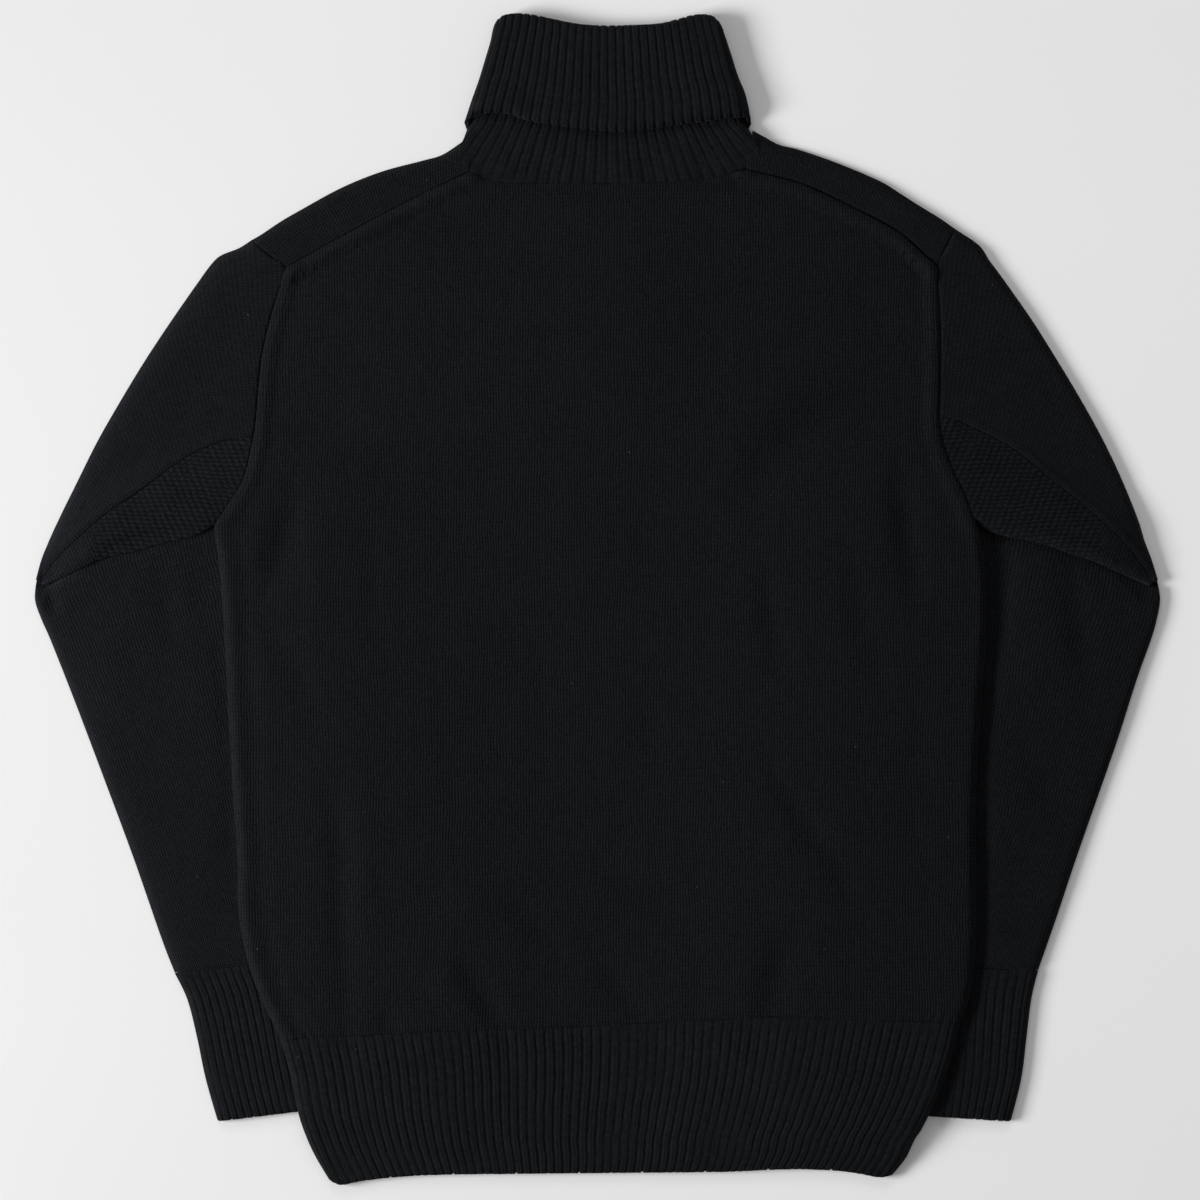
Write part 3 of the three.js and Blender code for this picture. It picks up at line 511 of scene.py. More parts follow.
def ripple(x, y, size, seed):
    """A soft unevenness between -1 and 1, the same on each run."""
    chance = np.random.default_rng(seed)
    total = 0
    for _ in range(RIPPLE_WAVES):
        angle, phase = chance.uniform(0, TURN, 2)
        k = TURN / (size * chance.uniform(*RIPPLE_SIZES))
        total = total + np.sin(k * (x * math.cos(angle) + y * math.sin(angle)) + phase)
    return total / RIPPLE_WAVES * RIPPLE_GAIN


def ripples(x, y, table):
    return sum(height * ripple(x, y, size, seed) for height, size, seed in table)


def from_line(x, y, table):
    """Distance to a line, and how far along it the nearest point lies, in millimetres."""
    p = np.asarray(table, float)
    best = np.full(np.broadcast(x, y).shape, 1e9)
    along = np.zeros_like(best)
    walked = 0.0
    for a, b in zip(p[:-1], p[1:]):
        d = b - a
        length = float(np.hypot(*d))
        t = np.clip(((x - a[0]) * d[0] + (y - a[1]) * d[1]) / length**2, 0, 1)
        gap = np.hypot(x - a[0] - t * d[0], y - a[1] - t * d[1])
        nearer = gap < best
        best = np.where(nearer, gap, best)
        along = np.where(nearer, walked + t * length, along)
        walked += length
    return best, along


def away(x, y, table):
    """Distance to a line."""
    return from_line(x, y, table)[0]


def lines(distance, table):
    """Soft raised lines beside a seam, by their table."""
    return sum(height * glow(distance - centre, half) for centre, half, height in table)


def creases(x, y, table):
    """How far soft troughs press the cloth down, by their table."""
    down = 0
    for points, half, depth in table:
        line = smooth_rows(points, 16)
        distance, along = from_line(x, y, line)
        length = np.hypot(*np.diff(line, axis=0).T).sum()
        middle = np.sin(math.pi * np.clip(along / length, 0.02, 0.98))
        fade = lerp(CREASE_ENDS, 1, middle)
        down = down + depth * fade * glow(distance, CREASE_SOFTNESS * half)
    return down


def rib(u, depth):
    """Height of a rib's face under its crest. A furrow lies at each whole number."""
    p = u - np.floor(u)
    d = 2 * np.minimum(p, 1 - p)
    return depth * (ramp(d / RIB_FLANK) - RIB_DENT * glow(d - 1, DENT_HALF) - 1)


def ribbed(count, share, edge, from_joint, from_end):
    """Ribs that start softly at a joint and end at a cast-off edge."""
    wave = rib(count * share, RIB_DEPTH) * ramp(edge / RIB_FADE)
    wave = wave * lerp(JOINT_START, 1, ramp(from_joint / JOINT_FADE))
    return wave - round_off(from_end, *CAST_OFF) - round_off(from_joint, *JOINT_ROUND)


def scallop(ribs, share):
    """The ribs' crests reach a little further than their furrows at a cast-off edge."""
    return rib(ribs * share, 1.0) + 0.5


def edge_shares(length, count):
    """Shares across a section, close together at its two rolled edges."""
    near = np.array([0, *EDGE_STEPS, 1.0]) * ROLL / length
    inside = np.linspace(near[-1], 1 - near[-1], count)[1:-1]
    return np.concatenate([near, inside, 1 - near[::-1]])


def few(count, wanted):
    """Evenly spread whole numbers from 0 to count - 1."""
    return np.unique(np.linspace(0, count - 1, wanted).round().astype(int))


def rim(out, back, places):
    """Triangles between two edges of different fineness, by the shorter diagonal."""

    def gap(i, j):
        inside = i < len(out) and j < len(back)
        return np.linalg.norm(places[out[i]] - places[back[j]]) if inside else math.inf

    faces, i, j = [], 0, 0
    while i + 1 < len(out) or j + 1 < len(back):
        if gap(i + 1, j) <= gap(i, j + 1):
            faces.append((out[i + 1], out[i], back[j]))
            i += 1
        else:
            faces.append((back[j], back[j + 1], out[i]))
            j += 1
    return faces


def wall(name, outer, uv, inner, inner_uv, ring, material, period=0.0):
    """A closed sheet of cloth between an outer and an inner grid of points."""
    places = np.vstack([outer.reshape(-1, 3), inner.reshape(-1, 3)])
    maps = np.vstack([uv.reshape(-1, 2), inner_uv.reshape(-1, 2)])
    out = np.arange(outer[..., 0].size).reshape(outer.shape[:2])
    back = out.size + np.arange(inner[..., 0].size).reshape(inner.shape[:2])
    faces, shifts = [], []
    for ids, turned in ((out, False), (back, True)):
        columns = ids.shape[1]
        for c in range(columns if ring else columns - 1):
            n = (c + 1) % columns
            a, b, e, f = ids[:-1, c], ids[:-1, n], ids[1:, n], ids[1:, c]
            faces.append(np.stack((a, f, e, b) if turned else (a, b, e, f), 1))
            wrap = period if n < c else 0.0
            move = (0, 0, wrap, wrap) if turned else (0, wrap, wrap, 0)
            shifts.append(np.tile(move, (len(a), 1)))
    quads, quad_shifts = np.vstack(faces), np.vstack(shifts)
    closed = (lambda row: [*row, row[0]]) if ring else list
    rims = rim(closed(out[0]), closed(back[0]), places)
    rims += rim(closed(out[-1])[::-1], closed(back[-1])[::-1], places)
    if not ring:
        rims += rim(out[:, -1], back[:, -1], places)
        rims += rim(out[::-1, 0], back[::-1, 0], places)
    tri = np.array(rims)
    volume = 0.0
    for a, b, c in (quads[:, [0, 1, 2]].T, quads[:, [0, 2, 3]].T, tri.T):
        volume += np.einsum("ij,ij->", places[a], np.cross(places[b], places[c]))
    if volume < 0:
        quads, quad_shifts, tri = quads[:, ::-1], quad_shifts[:, ::-1], tri[:, ::-1]
    mesh = bpy.data.meshes.new(name)
    mesh.from_pydata((places * MM).tolist(), [], quads.tolist() + tri.tolist())
    layer = mesh.uv_layers.new(name="stitches")
    flat = maps[np.concatenate([quads.ravel(), tri.ravel()])]
    flat[: quads.size, 0] += quad_shifts.ravel()
    layer.data.foreach_set("uv", flat.ravel().astype(np.float32))
    mesh.polygons.foreach_set("use_smooth", [True] * len(quads) + [False] * len(tri))
    mesh.materials.append(material)
    mesh.update()
    piece = bpy.data.objects.new(name, mesh)
    bpy.context.scene.collection.objects.link(piece)
    return piece


def paint_shading(piece, painted_shading):
    """Keeps with each point of a piece the painted light and painted shade of its cloth there."""
    places = np.empty(3 * len(piece.data.vertices), np.float32)
    piece.data.vertices.foreach_get("co", places)
    x, y, _ = places.reshape(-1, 3).T / MM
    layer = piece.data.attributes.new("painted_shading", "FLOAT", "POINT")
    layer.data.foreach_set("value", painted_shading(x, y).astype(np.float32))


def widths(points):
    """Length of each row of a grid of points."""
    return np.hypot(*np.moveaxis(np.diff(points[..., :2], axis=1), -1, 0)).sum(1)


def flat_area(points):
    """Area of a plan in square metres."""
    a, b = np.diff(points, axis=1)[:-1], np.diff(points, axis=0)[:, :-1]
    return float(np.abs(a[..., 0] * b[..., 1] - a[..., 1] * b[..., 0]).sum()) * MM * MM


def cut_of(points, layers=1):
    """Width, length and area of a piece's cloth laid flat, in metres. A tube has two layers."""
    width = float(widths(points).max()) * layers * MM
    length = float(widths(np.swapaxes(points, 0, 1)).max()) * MM
    return width, length, min(flat_area(points) * layers, width * length)


def plain(x, *_):
    """A face, or a floor under a piece, without any height of its own."""
    return 0 * x


def between(first, second, along, across):
    """Points between two lines, which are read along them."""
    return lerp(first(along)[:, None], second(along)[:, None], across[None, :, None])


def bend(table, share):
    """How far a line leaves the straight one between its ends."""
    (x0, y0), (x1, y1) = table[0], table[-1]
    return read(table, lerp(x0, x1, share)) - lerp(y0, y1, share)


def panel_plan(edges, lower, upper):
    """Points of a panel between two side lines and two lines across."""

    def plan(up, share):
        points = between(*edges, up, share)
        points[..., 1] += lerp(bend(lower, share)[None], bend(upper, share)[None], up[:, None])
        return points

    return plan


def panel(name, plan, rows, shares, face, roll, free, relief, stitches, material):
    """A panel laid on its plan: face is 1 for the back of the sweater and -1 for its front.

    Row by row, roll is how far its side edges round off, and free the share to which they sink.
    """
    roll, free = (0 * rows + roll)[:, None], (0 * rows + free)[:, None]
    slope = BACK_SLOPE if face > 0 else SLOPE_IN
    points = plan(rows, shares)
    x, y = np.moveaxis(points, -1, 0)
    width = widths(points)[:, None]
    edge = np.minimum(shares, 1 - shares)[None] * width
    height = swell(edge, roll) + relief(x, y, rows[:, None], shares[None], edge)
    z = TUBE / 2 - sink(edge, free) + face * np.maximum(height, GAP / 2)
    outer = np.dstack([x, y, lift(x, y, slope) + np.maximum(z, 0)])
    uv = np.dstack(stitches(x, y, shares))
    r, c = few(len(rows), 46), few(len(shares), 46)
    lip = LIP / float(width.mean())
    inside = np.clip(shares[c], lip, 1 - lip)
    x, y = np.moveaxis(plan(rows[r], inside), -1, 0)
    edge = np.minimum(inside, 1 - inside)[None] * width[r]
    z = TUBE / 2 - sink(edge, free[r]) + face * GAP / 2
    inner = np.dstack([x, y, lift(x, y, slope) + z])
    piece = wall(name, outer, uv, inner, uv[np.ix_(r, c)], False, material)
    return piece, cut_of(points)


# Least thickness of a tube's face over its hollow, and what counts as its edge
LEAST_FACE = 0.25
AT_EDGE = 0.3

# The inner faces' shares of the room under a ceiling
CEILING_SHARES = {1: 0.6, -1: 0.4}


def tube(
    name, plan, rows, count, look, relief, stitches, period,
    base=plain, height=TUBE, hollow=GAP, reach=EDGE_ROUND, ceiling=None,
):
    """A flattened tube as a closed ring: the face on top, then the one below it.

    Row by row, hollow is its inner height, and reach how far its upper face rounds off at its
    first edge. Stitches get the share of the way round, which is 0 to 1 on top and 1 to 2 below.
    """
    half = height / 2
    hollow, reach = (0 * rows + hollow)[:, None], (0 * rows + reach)[:, None]
    span = plan(rows, np.array([0.0, 1.0]), 1)
    length = np.hypot(*(span[:, 1] - span[:, 0]).T)[:, None]
    mean = float(length.mean())
    top = edge_shares(mean, count)
    inside = np.linspace(WALL / mean, 1 - WALL / mean, 14)
    r = few(len(rows), 12)

    def grid(up, shares, face, height_of):
        x, y = np.moveaxis(plan(up, shares, face), -1, 0)
        u, v = stitches(x, y, up[:, None], shares if face > 0 else 2 - shares)
        places = np.dstack([x, y, height_of(x, y, shares, face)])
        return np.dstack([places, u + 0 * x, v + 0 * x])

    def outside(x, y, shares, face):
        edge = np.minimum(shares, 1 - shares)[None] * length
        roll = np.where(shares < 0.5, reach, EDGE_ROUND) if face > 0 else ROLL
        out = swell(edge, roll, half) + relief(x, y, rows[:, None], shares[None], face, edge)
        least = np.minimum(hollow / 2 + LEAST_FACE, swell(edge, ROLL, half))
        out = np.where(edge < AT_EDGE, 0, np.maximum(out, least))
        z = base(x, y) + np.maximum(half + face * out - sink(edge), 0)
        return np.minimum(z, ceiling(x, y, face)) if ceiling else z

    def within(x, y, shares, face):
        edge = np.minimum(shares, 1 - shares)[None] * length[r]
        z = base(x, y) + half + face * hollow[r] / 2 - sink(edge)
        return np.minimum(z, CEILING_SHARES[face] * ceiling(x, y, 1)) if ceiling else z

    faces = [grid(rows, top, 1, outside), grid(rows, top[::-1][1:-1], -1, outside)]
    inner = [grid(rows[r], inside, 1, within), grid(rows[r], inside[::-1], -1, within)]
    (outer, uv), (inner, inner_uv) = (
        np.split(np.concatenate(grids, 1), [3], axis=2) for grids in (faces, inner)
    )
    piece = wall(name, outer, uv, inner, inner_uv, True, look, period)
    return piece, cut_of(plan(rows, top, 1), 2)


def seam_cut(side, y):
    """How far the armhole's seam is drawn in: less towards the underarm."""
    return side["seam_cut"] * lerp(CUT_LEFT, 1, ramp((y - CUT_FROM) / CUT_OVER))


def seams(side):
    """The shoulder's and the armhole's seam on the back."""
    return smooth_rows(side["shoulder_seam"], 24), smooth_rows(side["armhole"], 30)


def marks(from_seam, along):
    """Small knots where two stitches are knitted together, in a row beside a seam."""
    centre, half, step, height = DECREASES
    return height * glow(from_seam - centre, half) * np.clip(np.cos(TURN * along / step), 0, 1) ** 2


def body_edge(side):
    low, high = curve_of(side["body_side"]), curve_of(side["armhole"])

    def edge(up):
        below = low(1 - up / UNDERARM)
        above = high(1 - (up - UNDERARM) / (1 - UNDERARM))
        return np.where((up <= UNDERARM)[:, None], below, above)

    return edge


def sewn(rows, soft):
    """Share to which the body's side edge is a seam: 1 above the underarm, with a soft start."""
    return ramp((rows - UNDERARM + soft) / soft)


def body_stitches(x, y, share):
    return x / WALE, y / COURSE


def back_relief(x, y, up, share, edge):
    """Everything that raises or presses down the back's outer face."""
    high = ripples(x, y, BACK_RIPPLES) - BACK_CREASE_GAIN * creases(x, y, BODY_CREASES)
    high = high + (1 - sewn(up, FREE_SOFT)) * (share < 0.5) * lines(edge, SIDE_LINES)
    for side in SIDES:
        shoulder_seam, armhole = seams(side)
        from_seam, along = from_line(x, y, shoulder_seam)
        high = high + lines(from_seam, SHOULDER_LINES) + marks(from_seam, along)
        high = high - round_off(from_seam, SEAM_ROUND, side["seam_cut"])
        from_armhole = away(x, y, armhole)
        high = high + lines(from_armhole, ARMHOLE_LINES)
        high = high - round_off(from_armhole, SEAM_ROUND, 1) * seam_cut(side, y)
    from_neck = away(x, y, smooth_rows(BACK_NECK[2:-2], 30))
    high = high - round_off(from_neck, *NECK_ROUND) + lines(from_neck, NECK_LINES)
    from_hem = away(x, y, HEM_JOINT)
    crown = CROWN * np.cos(TURN * HEM_RIBS * share) * np.exp(-from_hem / CROWN_REACH)
    return high - round_off(from_hem, *JOINT_ROUND) - crown + lines(from_hem, HEM_LINES)


# Painted shade in the back's creases and below the neck, and painted highlights beside the shoulder and
# armhole seams
def back_painted_shading(x, y):
    painted_shading = -CREASE_PAINTED_SHADE * creases(x, y, BODY_CREASES)
    for side in SIDES:
        shoulder_seam, armhole = seams(side)
        seam_painted_light = lines(away(x, y, shoulder_seam), SHOULDER_PAINTED_LIGHT)
        painted_shading = painted_shading + np.maximum(seam_painted_light, lines(away(x, y, armhole), ARMHOLE_PAINTED_LIGHT))
    return painted_shading - lines(away(x, y, smooth_rows(BACK_NECK[2:-2], 30)), NECK_PAINTED_SHADE)


def back_panel(look):
    plan = panel_plan([body_edge(side) for side in SIDES], HEM_JOINT, BACK_TOP)
    roll = lerp(EDGE_ROUND, SEAM_ROLL, sewn(BODY_ROWS, BACK_SOFT))
    piece, cut = panel(
        "back_panel_knit", plan, BODY_ROWS, BODY_SHARES, 1, roll,
        1 - sewn(BODY_ROWS, FREE_SOFT), back_relief, body_stitches, look,
    )
    paint_shading(piece, back_painted_shading)
    return piece, cut


def front_panel(look):
    """The front lies on the floor: its outer face is plain."""
    plan = panel_plan([body_edge(side) for side in SIDES], HEM_JOINT, FRONT_TOP)
    roll = lerp(ROLL, SEAM_ROLL, sewn(FRONT_ROWS, FRONT_SOFT))
    return panel(
        "front_panel_knit", plan, FRONT_ROWS, edge_shares(520, 150), -1, roll,
        1 - sewn(FRONT_ROWS, FREE_SOFT), plain, body_stitches, look,
    )


def hem(face, look):
    """One side of the ribbed hem."""

    def edge_of(side):
        line = curve_of(side["hem_side"])
        return lambda up: line(1 - up) - np.stack([0 * up, JOINT_GAP * up], -1)

    even = panel_plan([edge_of(side) for side in SIDES], smooth_rows(HEM_EDGE), HEM_JOINT)

    def plan(up, share):
        points = even(up, share)
        points[..., 1] -= ((1 - up) ** 12)[:, None] * scallop(HEM_RIBS, share)[None]
        return points

    def relief(x, y, up, share, edge):
        high = ribbed(HEM_RIBS, share, edge, (1 - up) * HEM_LENGTH, up * HEM_LENGTH)
        return high + (ripples(x, y, HEM_RIPPLES) - creases(x, y, HEM_CREASES)) * (face > 0)

    def stitches(x, y, share):
        return HEM_RIBS * share + 0 * x, y / COURSE

    shares = np.linspace(0, 1, HEM_RIBS * RIB_COLUMNS + 1)
    name, reach = ("hem_back_knit", EDGE_ROUND) if face > 0 else ("hem_front_knit", ROLL)
    return panel(name, plan, HEM_ROWS, shares, face, reach, 1, relief, stitches, look)


# The elbow. The fold presses the lower sleeve down by FOLD_DEPTH as far out as FOLD_END, and
# leaves FOLD_ROOM over it, FOLD_REACH far in. Outside, that room grows by ROOM_SLOPE.
FOLD_DEPTH = 1.0
FOLD_END = 388
FOLD_FADE = 12
FOLD_BESIDE = 6
FOLD_ROOM = 0.9
FOLD_REACH = 2.4
ROOM_SLOPE = 2.2

# Its tip: room between the two sleeves, a hollow where the upper one ends, and that one's dip
TIP_ROOM = 1.3
TIP_START = 352
TIP_SOFT = 20
TIP_TOP = 44
TOP_SOFT = 14
TIP_FOOT = 4
FOOT_SOFT = 6
TIP_HOLLOW = 2.2
TIP_HALF = 9
TIP_DIP = 2.5
DIP_START = 0.9

# Half width and depth of the crease round the tip
HOOK_HALF = 5
HOOK_DEPTH = 1.7

# The body presses the lower sleeve down in a band that grows wider by PRESS_WIDER from PRESS_FROM
PRESS_WIDER = 1.1
PRESS_FROM = -60
PRESS_OVER = 110

# The sleeve's outer edge: its round at the tip, and where it has its full round
TIP_ROUND = 6.5
ROUND_FROM = 0.14

# The cuff's round as a share of the sleeve's
CUFF_ROUND = 0.6

# Painted light on the elbow's tip and painted highlights on the outer edges: how much, how far out it
# starts and how wide it is
TIP_PAINTED_LIGHT = 0.5
TIP_PAINTED_LIGHT_START = 366
TIP_PAINTED_LIGHT_FADE = 14
TIP_BLUR = 3
EDGE_BLUR = 16


def under(from_fold):
    """Share of the way in under the fold."""
    return np.clip(1 - from_fold / FOLD_REACH, 0, 1)


def tip_room(x, y):
    """Least height of the folded upper sleeve's underside near the elbow's tip."""
    beside = ramp((np.abs(x) - TIP_START) / TIP_SOFT)
    return TIP_ROOM * beside * ramp((TIP_TOP - y) / TOP_SOFT) * ramp((y - TIP_FOOT) / FOOT_SOFT)


def tip_dip(along):
    """The folded sleeve's end sinks into the rim that runs round the elbow."""
    return TIP_DIP * ramp((along - DIP_START) / (1 - DIP_START))


# Painted shading of a sleeve piece: light or shadow beside the fold by its sign, painted light on the
# elbow's tip, painted highlights towards the outer edges and painted shade in the creases
def sleeve_painted_shading(side, fold_painted_shading, fold_blur):
    fold = smooth_rows(side["fold"], 40)
    outer = [smooth_rows(side[edge], 30) for edge in ("upper_outer", "forearm_outer")]

    def painted_shading(x, y):
        from_fold = away(x, y, fold)
        at_tip = ramp((np.abs(x) - TIP_PAINTED_LIGHT_START) / TIP_PAINTED_LIGHT_FADE) * glow(from_fold, TIP_BLUR)
        from_edge = np.minimum(*[away(x, y, line) for line in outer])
        light = fold_painted_shading * glow(from_fold, fold_blur) + TIP_PAINTED_LIGHT * at_tip
        light = light + side["edge_tint"] * glow(from_edge, EDGE_BLUR)
        return light - CREASE_PAINTED_SHADE * creases(x, y, side["creases"])

    return painted_shading


def pressed(side, x, y, wider=1):
    """How far the body's side edge presses down what lies under it."""
    return side["press"] * glow(away(x, y, side["pressed"]), side["press_half"] * wider)


def lower_sleeve(side, look):
    outer, inner = curve_of(side["forearm_outer"]), line_of(side["forearm_inner"])
    top, fold = curve_of(side["forearm_top"]), smooth_rows(side["fold"], 40)

    def plan(along, across, face):
        chord = lerp(outer(START), inner(START), across[:, None])
        bow = (top(across) - chord)[None] * ((1 - along) ** 3)[:, None, None]
        return between(outer, inner, along, across) + bow

    def ceiling(x, y, face):
        from_fold = away(x, y, fold)
        outside = FOLD_ROOM + ROOM_SLOPE * from_fold
        room = np.where(y < read(fold, x), outside, FOLD_ROOM * under(from_fold) ** 2)
        return np.maximum(lift(x, y), tip_room(x, y)) + room - (GAP / 2 if face > 0 else 1.5 * GAP)

    def relief(x, y, along, across, face, edge):
        if face < 0:
            return 0 * x
        from_fold, rise = away(x, y, fold[:-3]), side["fold_rise"]
        above = (y > read(fold, x)) & (np.abs(x) < FOLD_END)
        inside = lerp(FOLD_DEPTH * ramp((FOLD_END - np.abs(x)) / FOLD_FADE), -rise, under(from_fold))
        down = np.where(above, inside, -rise * glow(from_fold, FOLD_BESIDE))
        from_tip = np.hypot(x - fold[-1, 0], y - fold[-1, 1])
        down = np.maximum(down, TIP_HOLLOW * glow(from_tip, TIP_HALF))
        down = np.maximum(down, HOOK_DEPTH * glow(away(x, y, side["hook"]), HOOK_HALF))
        wider = ramp((y - PRESS_FROM) / PRESS_OVER)
        down = np.maximum(down, pressed(side, x, y, 1 + PRESS_WIDER * wider))
        soft = ripples(x, y, LOWER_RIPPLES) - creases(x, y, side["creases"])
        down = down + round_off((1 - along) * LOWER_LENGTH, *SLEEVE_END_ROUND)
        return ramp(edge / SOFT_FADE) * soft - down

    def stitches(x, y, along, around):
        return around * LOWER_WALES, along * LOWER_LENGTH / COURSE

    reach = lerp(TIP_ROUND, side["round"], ramp(LOWER_ROWS / ROUND_FROM))
    piece, cut = tube(
        f"sleeve_{side['name']}_lower_knit", plan, LOWER_ROWS, 110, look, relief, stitches,
        2 * LOWER_WALES, reach=reach, ceiling=ceiling,
    )
    paint_shading(piece, sleeve_painted_shading(side, *side["under_tint"]))
    return piece, cut


def cuff(side, look):
    outer, inner = curve_of(side["cuff_outer"]), line_of(side["cuff_inner"])

    def plan(along, across, face):
        points = between(outer, inner, along, across)
        points[..., 1] -= JOINT_GAP * (1 - along)[:, None]
        points[..., 1] -= (along**12)[:, None] * scallop(CUFF_RIBS, across)[None]
        return points

    def relief(x, y, along, across, face, edge):
        high = ribbed(CUFF_RIBS, across, edge, along * CUFF_LENGTH, (1 - along) * CUFF_LENGTH)
        return high - pressed(side, x, y) * (face > 0)

    def stitches(x, y, along, around):
        return CUFF_RIBS * around, y / COURSE

    return tube(
        f"cuff_{side['name']}_knit", plan, CUFF_ROWS, CUFF_RIBS * RIB_COLUMNS, look, relief,
        stitches, 2 * CUFF_RIBS, reach=CUFF_ROUND * side["round"],
    )


def collar_stand(look):
    neck = {1: curve_of(BACK_NECK), -1: curve_of(FRONT_NECK)}
    left, right = curve_of(ROLL_LEFT), curve_of(ROLL_RIGHT)
    inset = np.array([STAND_INSET, 0])

    def plan(along, across, face):
        start, t = neck[face](across), across[:, None]
        edge = lerp(left(START) + inset, right(START) - inset, t)
        low = lerp(start[None], edge[None], np.clip(along / AT_ROLL, 0, 1)[:, None, None])
        up = np.clip((along - AT_ROLL) / (1 - AT_ROLL), 0, 1)
        high = lerp((left(up) + inset)[:, None], (right(up) - inset)[:, None], t[None])
        high[..., 1] = lerp(edge[None, :, 1], STAND_TOP, up[:, None])
        return np.where((along <= AT_ROLL)[:, None, None], low, high)

    def base(x, y):
        return LAYER * ramp((y - STAND_RISE_FROM) / (STAND_RISE_TO - STAND_RISE_FROM))

    def relief(x, y, along, across, face, edge):
        high = rib(COLLAR_RIBS * across, STAND_RIB_DEPTH) * ramp(edge / RIB_FADE)
        high = high - round_off(along * STAND_LENGTH, *STAND_ROUND)
        if face > 0:
            under_lip = away(x, y, smooth_rows(ROLL_EDGE, 30))
            high = high + lines(under_lip, UNDER_LIP_LINES) + ripples(x, y, STAND_RIPPLES)
        return high

    def stitches(x, y, along, around):
        return COLLAR_RIBS * around, along * STAND_LENGTH / COURSE

    piece, cut = tube(
        "collar_stand_knit", plan, STAND_ROWS, COLLAR_RIBS * RIB_COLUMNS, look, relief, stitches,
        2 * COLLAR_RIBS, base=base,
    )

    # Painted shadow under the roll's lip, and a slight painted shade over the whole stand
    def painted_shading(x, y):
        return -lines(away(x, y, smooth_rows(ROLL_EDGE, 30)), LIP_PAINTED_SHADOW) - STAND_PAINTED_SHADE

    paint_shading(piece, painted_shading)
    return piece, cut


def collar_roll(look):
    sides, fold = (curve_of(ROLL_LEFT), curve_of(ROLL_RIGHT)), smooth_rows(ROLL_TOP)
    even = {face: panel_plan(sides, smooth_rows(line), fold)
            for face, line in ((1, ROLL_EDGE), (-1, ROLL_UNDER))}

    def plan(along, across, face):
        points = even[face](along, across)
        tip = (along**10)[:, None] - ((1 - along) ** 16)[:, None]
        points[..., 1] += tip * scallop(COLLAR_RIBS, across)[None]
        return points

    def relief(x, y, along, across, face, edge):
        up = along * ROLL_HEIGHT
        ends = round_off(up, *LIP_ROUND) + round_off(ROLL_HEIGHT - up, *TOP_ROUND)
        lip = lines(up, LIP_LINES) * ramp(edge / LIP_FADE) * (face > 0)
        soft = ripples(x, y, ROLL_RIPPLES) * ramp(edge / ROLL_FADE)
        high = rib(COLLAR_RIBS * across, COLLAR_RIB_DEPTH) * ramp(edge / ROLL_RIB_FADE)
        return high - ends + lip + soft

    def stitches(x, y, along, around):
        return COLLAR_RIBS * around, along * ROLL_HEIGHT / COURSE

    return tube(
        "collar_roll_knit", plan, ROLL_ROWS, COLLAR_RIBS * RIB_COLUMNS, look, relief, stitches,
        2 * COLLAR_RIBS, height=ROLLED_TUBE, hollow=np.where(ROLL_ROWS > 0.9, GAP, TUBE + 2 * GAP),
    )


def shoulder(side, look):
    """The front's extension over the shoulder, from the seam on the back to under its fold."""
    rows = np.linspace(0.0, 1, 130)
    a, b = curve_of(side["shoulder_seam"])(rows), curve_of(side["shoulder_fold"])(rows)
    whole = np.hypot(*(b - a).T)

    def grid(columns, half_of):
        places, uv = [], []
        for across, face in columns:
            share = across + 0 * rows
            p = lerp(a, b, share[:, None])
            z = TUBE / 2 + face * half_of(share, p, face) - sink((1 - share) * whole)
            places.append(np.column_stack([p, lift(*p.T) + np.maximum(z, 0)]))
            around = share if face >= 0 else 2 - share
            uv.append(np.column_stack([rows * SHOULDER_LENGTH / WALE, around * whole / COURSE]))
        return np.stack(places, 1), np.stack(uv, 1)

    def face_height(share, p, face):
        distance = (1 - share) * whole
        half = swell(distance, EDGE_ROUND if face > 0 else ROLL)
        half = half + ripples(*p.T, SHOULDER_RIPPLES) * ramp(distance / SHOULDER_FADE)
        half = half - round_off(share * whole, SHOULDER_SEAM_ROUND, 1.2 * side["seam_cut"])
        return np.maximum(half - round_off(rows * SHOULDER_LENGTH, *SHOULDER_END_ROUND), 0)

    first, last = 0.5 * GAP / whole, 1 - ROLL / whole
    columns = [(lerp(first, last, t), 1) for t in np.linspace(0, 1, 30)]
    columns += [(1 - step * ROLL / whole, 1) for step in EDGE_STEPS[::-1]] + [(1.0, 0)]
    columns += [(1 - step * ROLL / whole, -1) for step in [*EDGE_STEPS, 1]]
    outer, uv = grid(columns, face_height)
    at_wall, at_end = 1 - WALL / whole, 1 - SHOULDER_UNDER / whole
    few_columns = [(2 * GAP / whole, 1), (0.5, 1), (at_wall, 1), (at_wall, -1), (at_end, -1)]
    inner, inner_uv = grid(few_columns, lambda share, p, face: GAP / 2)
    r = few(len(rows), 16)
    piece = wall(f"shoulder_{side['name']}_knit", outer, uv, inner[r], inner_uv[r], False, look)
    return piece, cut_of(outer[:, :30])


# How far the shoulder's inner face runs back from its fold
SHOULDER_UNDER = 3.6

# Wales of the upper sleeves follow rings round a point below the underarm
RING_CENTRE = (210, -150)
RING_REACH = 293

# Directions of the gusset's stitches, across and along its wales, and their size
GUSSET_ACROSS = (-0.919, 0.394)
GUSSET_ALONG = (-0.294, 0.956)
GUSSET_WALE = 4.4
GUSSET_COURSE = 2.55

# Height of its knots across and along, and how much lower than the sleeve it lies
KNOT_ACROSS = 0.14
KNOT_ALONG = 0.1
GUSSET_LOW = 0.35

# The gusset's knots end this far from the middle, and its lower band lies this much lower
GUSSET_END = 352
FOLD_STEP = 1.3

# Most of its width that an upper sleeve's rolled edge and its inner edge may take
MOST_ROLL = 0.4
MOST_WALL = 0.3


def armhole_line(side):
    """The whole armhole, with the sleeve's first stretch above the body's."""
    return side["sleeve_top"] + side["armhole"]


